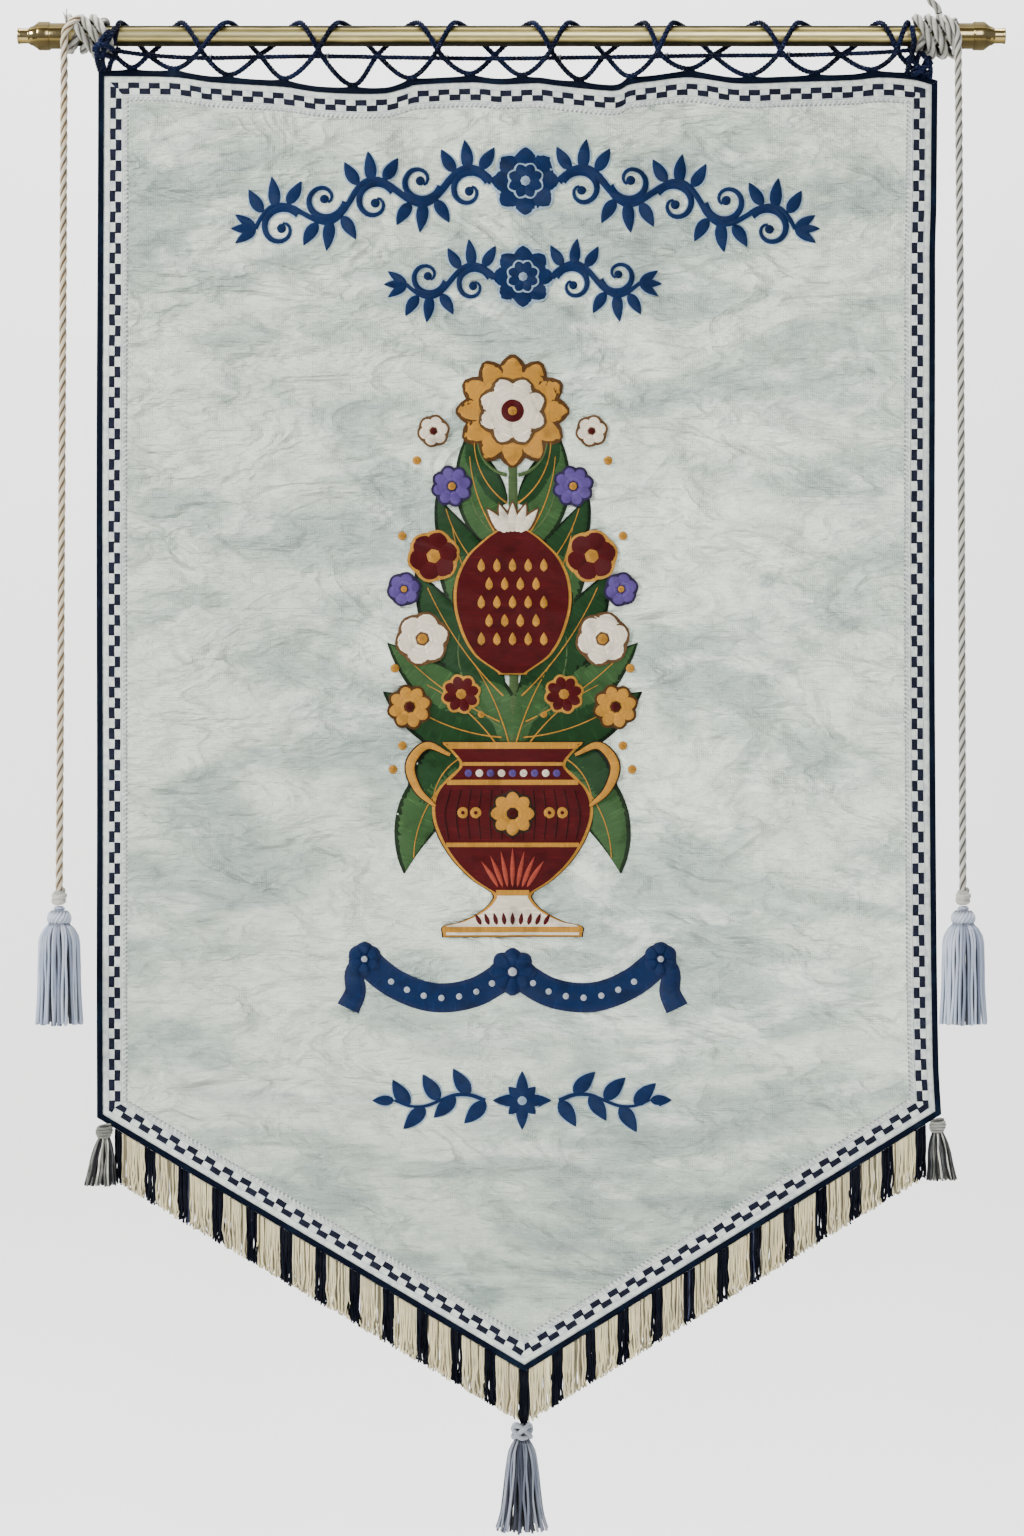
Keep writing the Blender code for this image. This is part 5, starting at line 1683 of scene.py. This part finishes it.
def make_urn_body(work, settings):
    """The urn's bowl and foot with their bands, rays, beads and handles."""
    pad = settings.padding
    body = (  # height, half width
        (0.046, 0.018),
        (0.060, 0.040),
        (0.085, 0.064),
        (0.115, 0.080),
        (0.140, 0.084),
        (0.160, 0.077),
        (0.176, 0.060),
        (0.186, 0.054),
        (0.200, 0.064),
        (0.208, 0.073),
    )
    foot = ((0.000, 0.072), (0.010, 0.071), (0.014, 0.054), (0.026, 0.030), (0.040, 0.017), (0.046, 0.018))
    bands = (  # height, width
        (0.046, 0.0060),
        (0.098, 0.0048),
        (0.166, 0.0056),
        (0.186, 0.0040),
        (0.206, 0.0070),
        (0.006, 0.0060),
    )
    handle = ((0.068, 0.196), (0.094, 0.206), (0.111, 0.186), (0.103, 0.158), (0.084, 0.140))
    red, gold = tuple(settings.red), settings.gold
    edged_solid(work, body, (0.0048, 0.0034), gold, red, pad)
    edged_solid(work, foot, (0.0048, 0.0034), gold, settings.cream, pad)
    for index in range(-6, 7):
        bends = ((0.104, 0.95), (0.132, 1.0), (0.158, 0.92))
        ray = [motif_spot(0.0122 * index * share, height) for height, share in bends]
        stitch_shape(work, ray, 0.0016, "band", (0.018, 0.001, 0.001), pad * 0.3, (12, 3), OVER_URN)
    for height, wide in bands:
        half = smooth_value(body if height > 0.045 else foot, height)
        line = [motif_spot(-half, height), motif_spot(0.0, height), motif_spot(half, height)]
        stitch_shape(work, line, wide, "band", gold, pad * 0.8, (20, 5), OVER_URN)
    for index in range(-4, 5):
        bead = settings.cream if index % 2 else settings.purple
        roundel(work, motif_spot(0.0120 * index, 0.176), 0.0040, bead, pad, OVER_URN)
    for index in range(-4, 5):
        line = arc_line(motif_spot(0.0085 * index, 0.011), 90.0 - 7.0 * index, 0.014, 0, 5)
        stitch_shape(work, line, 0.0050, "leaf", red, pad * 0.8, (8, 4), OVER_URN)
    for index in range(-3, 4):
        reach = 0.058 - 0.004 * abs(index)
        start = motif_spot(0.0052 * index, 0.052)
        line = arc_line(start, 90.0 - 9.5 * index, reach * 0.74, -3.0 * index, 8)
        stitch_shape(work, line, 0.0050, "leaf", (0.30, 0.050, 0.030), pad, (12, 5), OVER_URN)
    flower(work, motif_spot(0.0, 0.132), 0.026, 8, gold, red, DARK_EDGE, pad, 0.0, 0.0018, OVER_URN)
    for sign in (-1, 1):
        for offset in (0.040, 0.054):
            roundel(work, motif_spot(sign * offset, 0.133), 0.0060, gold, pad, OVER_URN)
            roundel(work, motif_spot(sign * offset, 0.133), 0.0026, red, pad * 1.6, OVER_URN)
        line = [motif_spot(sign * x, height) for x, height in handle]
        stitch_shape(work, line, 0.0128, "stroke", DARK_EDGE, pad * 0.8, (26, 6), 0.0018)
        stitch_shape(work, line, 0.0095, "stroke", gold, pad * 1.2, (26, 6), 0.0030)


def solid_of_table(work, table, grow, tint, padding, rise):
    """A shape that is even about the motif's middle, from a table of height and half width."""
    low, high = table[0][0] - grow * 0.5, table[-1][0] + grow * 0.5

    def place(u, v):
        height = low + (high - low) * v
        half = smooth_value(table, height) + grow
        x = MOTIF_X + half * (2 * u - 1)
        crown = padding * (1 - (2 * u - 1) ** 4) ** 0.5 * min(1.0, 0.3 + 6 * min(v, 1 - v))
        return on_cloth(x, MOTIF_FOOT + height, STITCH_LIFT + rise + crown), (height, half * (2 * u - 1))

    work.sheet((20, 60), place, tint)


def edged_solid(work, table, edges, gold, tint, pad):
    """An even shape over a gold edge and a dark one; edges gives how far the dark and the gold one reach."""
    for grow, shade, rise in ((edges[0], DARK_EDGE, 0.0010), (edges[1], gold, 0.0019), (0.0, tint, 0.0028)):
        solid_of_table(work, table, grow, shade, pad * 0.7, rise)


def make_flowers(work, settings):
    """The fruit, the rosette above it, the flowers on both sides and the gold berries."""
    pad = settings.padding
    red, gold, cream, purple = settings.red, settings.gold, settings.cream, settings.purple
    # Large red fruit in the middle, with gold scales and a cream crown
    fruit = (  # height, half width
        (0.285, 0.012),
        (0.306, 0.040),
        (0.345, 0.058),
        (0.380, 0.060),
        (0.410, 0.048),
        (0.432, 0.026),
        (0.440, 0.014),
    )
    edged_solid(work, fruit, (0.0046, 0.0032), gold, red, pad)
    for row in range(5):
        for index in range(-2 + row % 2, 3):
            x = 0.017 * (index - 0.5 * (row % 2))
            height = 0.322 + 0.020 * row
            if abs(x) < smooth_value(fruit, height) - 0.008:
                line = arc_line(motif_spot(x, height - 0.007), 90, 0.014, 0, 5)
                stitch_shape(work, line, 0.008, "leaf", gold, pad, (7, 5), OVER_URN)
    for heading in (52.0, 71.0, 90.0, 109.0, 128.0):
        start = motif_spot(0.010 * math.cos(math.radians(heading)), 0.436)
        under, over = arc_line(start, heading, 0.037, 0), arc_line(start, heading, 0.034, 0)
        stitch_shape(work, under, 0.016, "leaf", BROWN_EDGE, pad * 0.8, (10, 6), 0.0018)
        stitch_shape(work, over, 0.012, "leaf", cream, pad * 1.2, (10, 6), 0.0022)
    # Large rosette at the top
    top = motif_spot(0.0, 0.570)
    flower(work, top, 0.062, 12, gold, red, (0.070, 0.030, 0.008), pad, rise=0.0010)
    flower(work, top, 0.039, 8, cream, red, (0.090, 0.045, 0.015), pad, 22.5, 0.0022, 0.0026)
    roundel(work, top, 0.0125, red, pad * 1.6, 0.0038)
    roundel(work, top, 0.0055, gold, pad * 1.8, 0.0048)
    for sign in (-1, 1):
        for x, height, radius, petals, tint, heart, edge in (
            (0.098, 0.322, 0.030, 6, cream, gold, BROWN_EDGE),
            (0.112, 0.248, 0.025, 8, gold, red, (0.06, 0.025, 0.006)),
            (0.086, 0.412, 0.029, 6, red, gold, OCHRE_EDGE),
            (0.066, 0.488, 0.023, 8, purple, gold, NIGHT_EDGE),
            (0.118, 0.376, 0.019, 6, purple, gold, NIGHT_EDGE),
            (0.086, 0.548, 0.018, 6, cream, red, BROWN_EDGE),
            (0.056, 0.262, 0.022, 8, red, gold, OCHRE_EDGE),
        ):
            spot = motif_spot(sign * x, height)
            flower(work, spot, radius, petals, tint, heart, edge, pad, 15.0, 0.0019, 0.0018)
        for x, height in BERRIES:
            roundel(work, motif_spot(sign * x, height), 0.0048, gold, pad * 2.2)


BERRIES = (  # x, height
    (0.128, 0.290),
    (0.120, 0.434),
    (0.104, 0.516),
    (0.034, 0.240),
    (0.120, 0.206),
    (0.130, 0.180),
)
SPRAY_ARCH = (  # x, z of the middle of the upper row of sprays
    (-0.285, -0.212),
    (-0.200, -0.186),
    (-0.100, -0.166),
    (0.005, -0.158),
    (0.110, -0.164),
    (0.210, -0.182),
    (0.315, -0.212),
)
LOWER_ARCH = ((-0.130, -0.272), (0.010, -0.262), (0.155, -0.270))


def outlined(piece, line, width, kind, tint, edge, pad, steps):
    """A stitched shape with a thin paler line round it."""
    stitch_shape(piece, line, width + 0.0022, kind, edge, pad * 0.7, steps)
    stitch_shape(piece, line, width, kind, tint, pad * 1.5, steps)


def heading_of(angle, sign):
    """A heading, or its mirror image on the left side."""
    return angle if sign > 0 else 180.0 - angle


def scroll_row(work, arch, start, wave, count, size, settings):
    """Scrolls with leaves that run out both ways from a flower along an arched line."""
    pad, blue, edge = settings.padding, tuple(settings.blue), tuple(settings.outline)
    middle = (arch[0][0] + arch[-1][0]) / 2
    for sign in (-1, 1):

        def at(run, rise):
            x = middle + sign * run
            slope = (smooth_value(arch, x + 0.01) - smooth_value(arch, x - 0.01)) / 0.02
            return x - slope * rise, smooth_value(arch, x) + rise

        stem = []
        for step in range(count * 6 + 1):
            run = start + wave * step / 6
            stem.append(at(run, 0.21 * size * math.sin(math.pi * step / 6)))
        outlined(work, stem, 0.125 * size, "stem", blue, edge, pad, (count * 12, 5))
        for index in range(count):
            up = 1 if index % 2 == 0 else -1
            centre = (start + wave * (index + 0.5), -0.10 * size * up)
            curl = []
            for step in range(19):
                turn = math.radians(158 - 22 * step) * up
                reach = size * (0.29 - 0.0125 * step)
                curl.append(at(centre[0] + reach * math.cos(turn), centre[1] + reach * math.sin(turn)))
            outlined(work, curl, 0.145 * size, "scroll", blue, edge, pad, (26, 5))
            roundel(work, at(*centre), 0.062 * size, blue, pad * 1.6)
            for lean, reach, away in ((52.0, 0.36, 0.16), (90.0, 0.42, 0.0), (128.0, 0.36, -0.16)):
                root = at(centre[0] + away * size, 0.17 * size * up)
                bend = 12.0 * up * sign if lean < 90 else -12.0 * up * sign
                leaf = arc_line(root, heading_of(lean * up, sign), reach * size, bend, 8)
                outlined(work, leaf, 0.185 * size, "leaf", blue, edge, pad, (12, 6))
        tip = at(start + wave * count - 0.01 * size, 0.0)
        for lean in (-34.0, 0.0, 34.0):
            leaf = arc_line(tip, heading_of(lean, sign), 0.34 * size, 0, 8)
            outlined(work, leaf, 0.15 * size, "leaf", blue, edge, pad, (10, 6))
    heart = (middle, smooth_value(arch, middle))
    flower(work, heart, 0.47 * size, 8, blue, edge, edge, pad * 1.2, rim=0.0015)
    flower(work, heart, 0.25 * size, 8, blue, edge, edge, pad, 22.5, 0.0011, 0.0016)


def make_sprays(settings):
    """Two arched rows of blue scrolls, leaves and flowers."""
    work = Piece()
    scroll_row(work, SPRAY_ARCH, 0.036, 0.0515, 5, 0.082, settings)
    scroll_row(work, LOWER_ARCH, 0.031, 0.0480, 2, 0.074, settings)
    finish_stitches(work, "embroidered_sprays")


SWAG = ((0.006, -1.020), (0.040, -1.040), (0.085, -1.046), (0.130, -1.030), (0.162, -1.004))  # x, z
RIBBON_TAIL = ((0.160, -1.002), (0.172, -1.018), (0.171, -1.040), (0.179, -1.058))


def make_ribbon(settings):
    """A plain blue ribbon that hangs in two swags from a rosette."""
    work = Piece()
    pad = settings.padding
    blue = tuple(settings.blue)
    for sign in (-1, 1):
        swag, tail = [[(MOTIF_X + sign * x, z) for x, z in line] for line in (SWAG, RIBBON_TAIL)]
        stitch_shape(work, swag, 0.0320, "band", BLUE_EDGE, pad * 0.8, (30, 8))
        stitch_shape(work, swag, 0.0285, "band", blue, pad * 1.5, (30, 8))
        for at in smooth_route(upright(swag), 0.0205)[1:8]:
            roundel(work, (at.x, at.z), 0.0042, SILVER, pad * 2.6)
        stitch_shape(work, tail, 0.0255, "tail", BLUE_EDGE, pad * 2.2, (20, 6))
        stitch_shape(work, tail, 0.0220, "tail", blue, pad * 2.8, (20, 6))
        knot = (MOTIF_X + sign * 0.161, -1.004)
        flower(work, knot, 0.0185, 6, blue, SILVER, BLUE_EDGE, pad * 3.2, 30.0, 0.0016)
    flower(work, (MOTIF_X, -1.018), 0.026, 8, blue, SILVER, BLUE_EDGE, pad * 2.6, 0.0, 0.0018)
    finish_stitches(work, "embroidered_ribbon")


def make_lower_sprig(settings):
    """A blue star between two leafy sprigs."""
    work = Piece()
    pad, blue, edge = settings.padding, tuple(settings.blue), tuple(settings.outline)
    for index in range(8):
        reach = 0.032 if index % 2 == 0 else 0.021
        leaf = arc_line(STAR, 90.0 + 45.0 * index, reach, 0, 8)
        outlined(work, leaf, 0.0150, "leaf", blue, edge, pad, (10, 6))
    roundel(work, STAR, 0.0062, edge, pad * 2.4)
    for sign in (-1, 1):
        stem = []
        for step in range(7):
            x = STAR[0] + sign * (0.040 + 0.0165 * step)
            stem.append((x, STAR[1] + 0.007 * math.sin(step * 1.05)))
        outlined(work, stem, 0.0060, "stem", blue, edge, pad, (26, 5))
        for step in range(6):
            heading = heading_of(52.0 if step % 2 else -52.0, sign)
            leaf = arc_line(stem[step], heading, 0.034, -10, 8)
            outlined(work, leaf, 0.0180, "leaf", blue, edge, pad, (12, 6))
        end_leaf = arc_line(stem[-1], heading_of(0.0, sign), 0.024, 0, 6)
        outlined(work, end_leaf, 0.0130, "leaf", blue, edge, pad, (9, 6))
    finish_stitches(work, "embroidered_sprig")


# Stage

FLOOR_GAP = 0.45  # from the banner's lowest point to the floor
FLOOR_FRONT = -3.2
FLOOR_WIDTH = 9.0
BEND_Y = 0.9  # where the floor starts to bend up into the wall
BEND_R = 0.7
WALL_TOP = 3.2
CAMERA_SPOT = (0.0005, -0.7964)  # x, z


def make_stage(settings):
    """A pale floor that bends up into the wall, three lights, the world and the camera."""
    floor = Looks("pale_floor", roughness=0.9)
    grain = floor.cloud(floor.place(), 3.0, detail=2.0)
    material = floor.wear(floor.mix(grain.fade(0.3, 0.7), (0.90, 0.90, 0.90), (0.92, 0.92, 0.92)))
    behind = floor.node("NewGeometry", {}, {}, output="Backfacing")
    floor.feed(floor.shader.inputs["Alpha"], 1.0 - behind)
    low = CAD_BOX[0][2] - FLOOR_GAP
    outline = [(FLOOR_FRONT, low), (BEND_Y, low)]
    for step in range(1, 9):
        angle = math.pi / 2 * step / 8
        outline.append((BEND_Y + BEND_R * math.sin(angle), low + BEND_R * (1 - math.cos(angle))))
    outline.append((BEND_Y + BEND_R, WALL_TOP))
    bm = bmesh.new()
    verts = [bm.verts.new((-FLOOR_WIDTH / 2, y, z)) for y, z in outline]
    edges = [bm.edges.new(pair) for pair in zip(verts, verts[1:])]
    made = bmesh.ops.extrude_edge_only(bm, edges=edges)["geom"]
    moved = [item for item in made if isinstance(item, bmesh.types.BMVert)]
    bmesh.ops.translate(bm, vec=(FLOOR_WIDTH, 0.0, 0.0), verts=moved)
    mesh = bpy.data.meshes.new("floor")
    bm.to_mesh(mesh)
    bm.free()
    mesh.shade_smooth()
    mesh.materials.append(material)
    stage = bpy.data.objects.new("floor", mesh)
    bpy.context.scene.collection.objects.link(stage)

    def area(name, place, aim, size, power, tint):
        light = bpy.data.lights.new(name, "AREA")
        light.shape = "RECTANGLE"
        light.size, light.size_y = size
        light.energy = power
        light.color = tint
        lamp = bpy.data.objects.new(name, light)
        lamp.location = place
        lamp.rotation_euler = (Vector(aim) - Vector(place)).to_track_quat("-Z", "Y").to_euler()
        bpy.context.scene.collection.objects.link(lamp)

    middle = (0.0, 0.0, -0.75)
    area("key", (-2.5, -1.6, 1.2), middle, (0.9, 0.9), settings.key, (1.0, 0.985, 0.96))
    area("front", (1.0, -4.7, 1.2), middle, (2.6, 2.2), settings.front, (0.98, 0.99, 1.0))
    area("wall", (0.0, 0.5, 3.0), (0.0, 1.6, -0.9), (4.0, 0.8), 480.0, (1.0, 1.0, 1.0))
    world = bpy.data.worlds.new("studio")
    world.use_nodes = True
    world.node_tree.nodes["Background"].inputs["Color"].default_value = (0.93, 0.95, 1.0, 1.0)
    world.node_tree.nodes["Background"].inputs["Strength"].default_value = 0.30
    bpy.context.scene.world = world

    lens = bpy.data.cameras.new("camera")
    lens.lens = 85.0
    lens.clip_end = 50.0
    camera = bpy.data.objects.new("camera", lens)
    camera.location = (CAMERA_SPOT[0], -settings.distance, CAMERA_SPOT[1])
    camera.rotation_euler = (math.pi / 2, 0.0, 0.0)
    bpy.context.scene.collection.objects.link(camera)
    bpy.context.scene.camera = camera


# Operators


class BuildStage(bpy.types.Operator):
    """Sets the floor, the lights and the camera"""

    bl_idname = "banner.stage"
    bl_label = "Stage"

    def execute(self, context):
        make_stage(context.scene.banner_stage)
        return {"FINISHED"}


class BuildRod(bpy.types.Operator):
    """Turns the brass rod and its end knobs"""

    bl_idname = "banner.rod"
    bl_label = "Rod"

    def execute(self, context):
        make_rod()
        return {"FINISHED"}


class BuildHitches(bpy.types.Operator):
    """Winds the rope hitches round the rod"""

    bl_idname = "banner.hitches"
    bl_label = "Rope hitches"

    def execute(self, context):
        for side in HITCHES:
            make_hitch(side, context.scene.banner_cords)
        return {"FINISHED"}


class BuildSideRopes(bpy.types.Operator):
    """Hangs the side ropes with their beads and tassels, and the loop above the right hitch"""

    bl_idname = "banner.side_ropes"
    bl_label = "Side ropes and tassels"

    def execute(self, context):
        for side in SIDE_ROPES:
            tassel = make_side_tassel(side, context.scene.banner_fringe)
            make_side_rope(side, context.scene.banner_cords)
        make_sling(context.scene.banner_cords)
        return {"FINISHED"}


class BuildLacing(bpy.types.Operator):
    """Laces the banner to the rod"""

    bl_idname = "banner.lacing"
    bl_label = "Lacing"

    def execute(self, context):
        settings = context.scene.banner_cords
        make_lacing(settings)
        make_header_cord(settings)
        make_thread_ties()
        for side in CORNER_TIES:
            make_corner_tie(side, settings)
        return {"FINISHED"}


class BuildCloth(bpy.types.Operator):
    """Hangs the silk panel with its braid, binding and fringe"""

    bl_idname = "banner.cloth"
    bl_label = "Silk, braid and binding"

    def execute(self, context):
        settings = context.scene.banner_cloth
        panel = make_panel(settings)
        trims = []
        for strip in STRIPS:
            trims.append(make_braid(strip, settings))
            trims.append(make_binding(strip, settings))
        for side in FRINGE_ENDS:
            trims += make_fringe(side, context.scene.banner_fringe)
        return {"FINISHED"}


class BuildSmallTassels(bpy.types.Operator):
    """Hangs the small tassels at the corners and at the point"""

    bl_idname = "banner.small_tassels"
    bl_label = "Small tassels"

    def execute(self, context):
        for side in CORNER_TASSELS:
            make_corner_tassel(side, context.scene.banner_fringe)
        make_point_tassel(context.scene.banner_fringe)
        return {"FINISHED"}


class BuildEmbroidery(bpy.types.Operator):
    """Works the urn, the sprays, the ribbon and the sprig on the silk"""

    bl_idname = "banner.embroidery"
    bl_label = "Embroidery"

    def execute(self, context):
        settings = context.scene.banner_motifs
        make_sprays(settings)
        make_urn(settings)
        make_ribbon(settings)
        make_lower_sprig(settings)
        return {"FINISHED"}


OPERATORS = (
    BuildStage,
    BuildRod,
    BuildHitches,
    BuildSideRopes,
    BuildLacing,
    BuildCloth,
    BuildSmallTassels,
    BuildEmbroidery,
)
SETTINGS = {
    "banner_cloth": ClothSettings,
    "banner_cords": CordSettings,
    "banner_fringe": FringeSettings,
    "banner_motifs": MotifSettings,
    "banner_stage": StageSettings,
}


class BannerPanel(bpy.types.Panel):
    """Lists the banner's pieces and what can be changed"""

    bl_idname = "VIEW3D_PT_banner"
    bl_label = "Banner"
    bl_space_type = "VIEW_3D"
    bl_region_type = "UI"
    bl_category = "Banner"

    def draw(self, context):
        for operator in OPERATORS:
            self.layout.operator(operator.bl_idname)
        for name, kind in SETTINGS.items():
            box = self.layout.box()
            for value in kind.__annotations__:
                box.prop(getattr(context.scene, name), value)


def register():
    for kind in (*SETTINGS.values(), *OPERATORS, BannerPanel):
        bpy.utils.register_class(kind)
    for name, kind in SETTINGS.items():
        setattr(bpy.types.Scene, name, bpy.props.PointerProperty(type=kind))


def unregister():
    for name in SETTINGS:
        delattr(bpy.types.Scene, name)
    for kind in reversed((*SETTINGS.values(), *OPERATORS, BannerPanel)):
        bpy.utils.unregister_class(kind)


def main():
    register()
    bpy.ops.banner.stage()
    bpy.ops.banner.rod()
    bpy.ops.banner.hitches()
    bpy.ops.banner.lacing()
    bpy.ops.banner.cloth()
    bpy.ops.banner.side_ropes()
    bpy.ops.banner.small_tassels()
    bpy.ops.banner.embroidery()


if __name__ == "__main__":
    main()
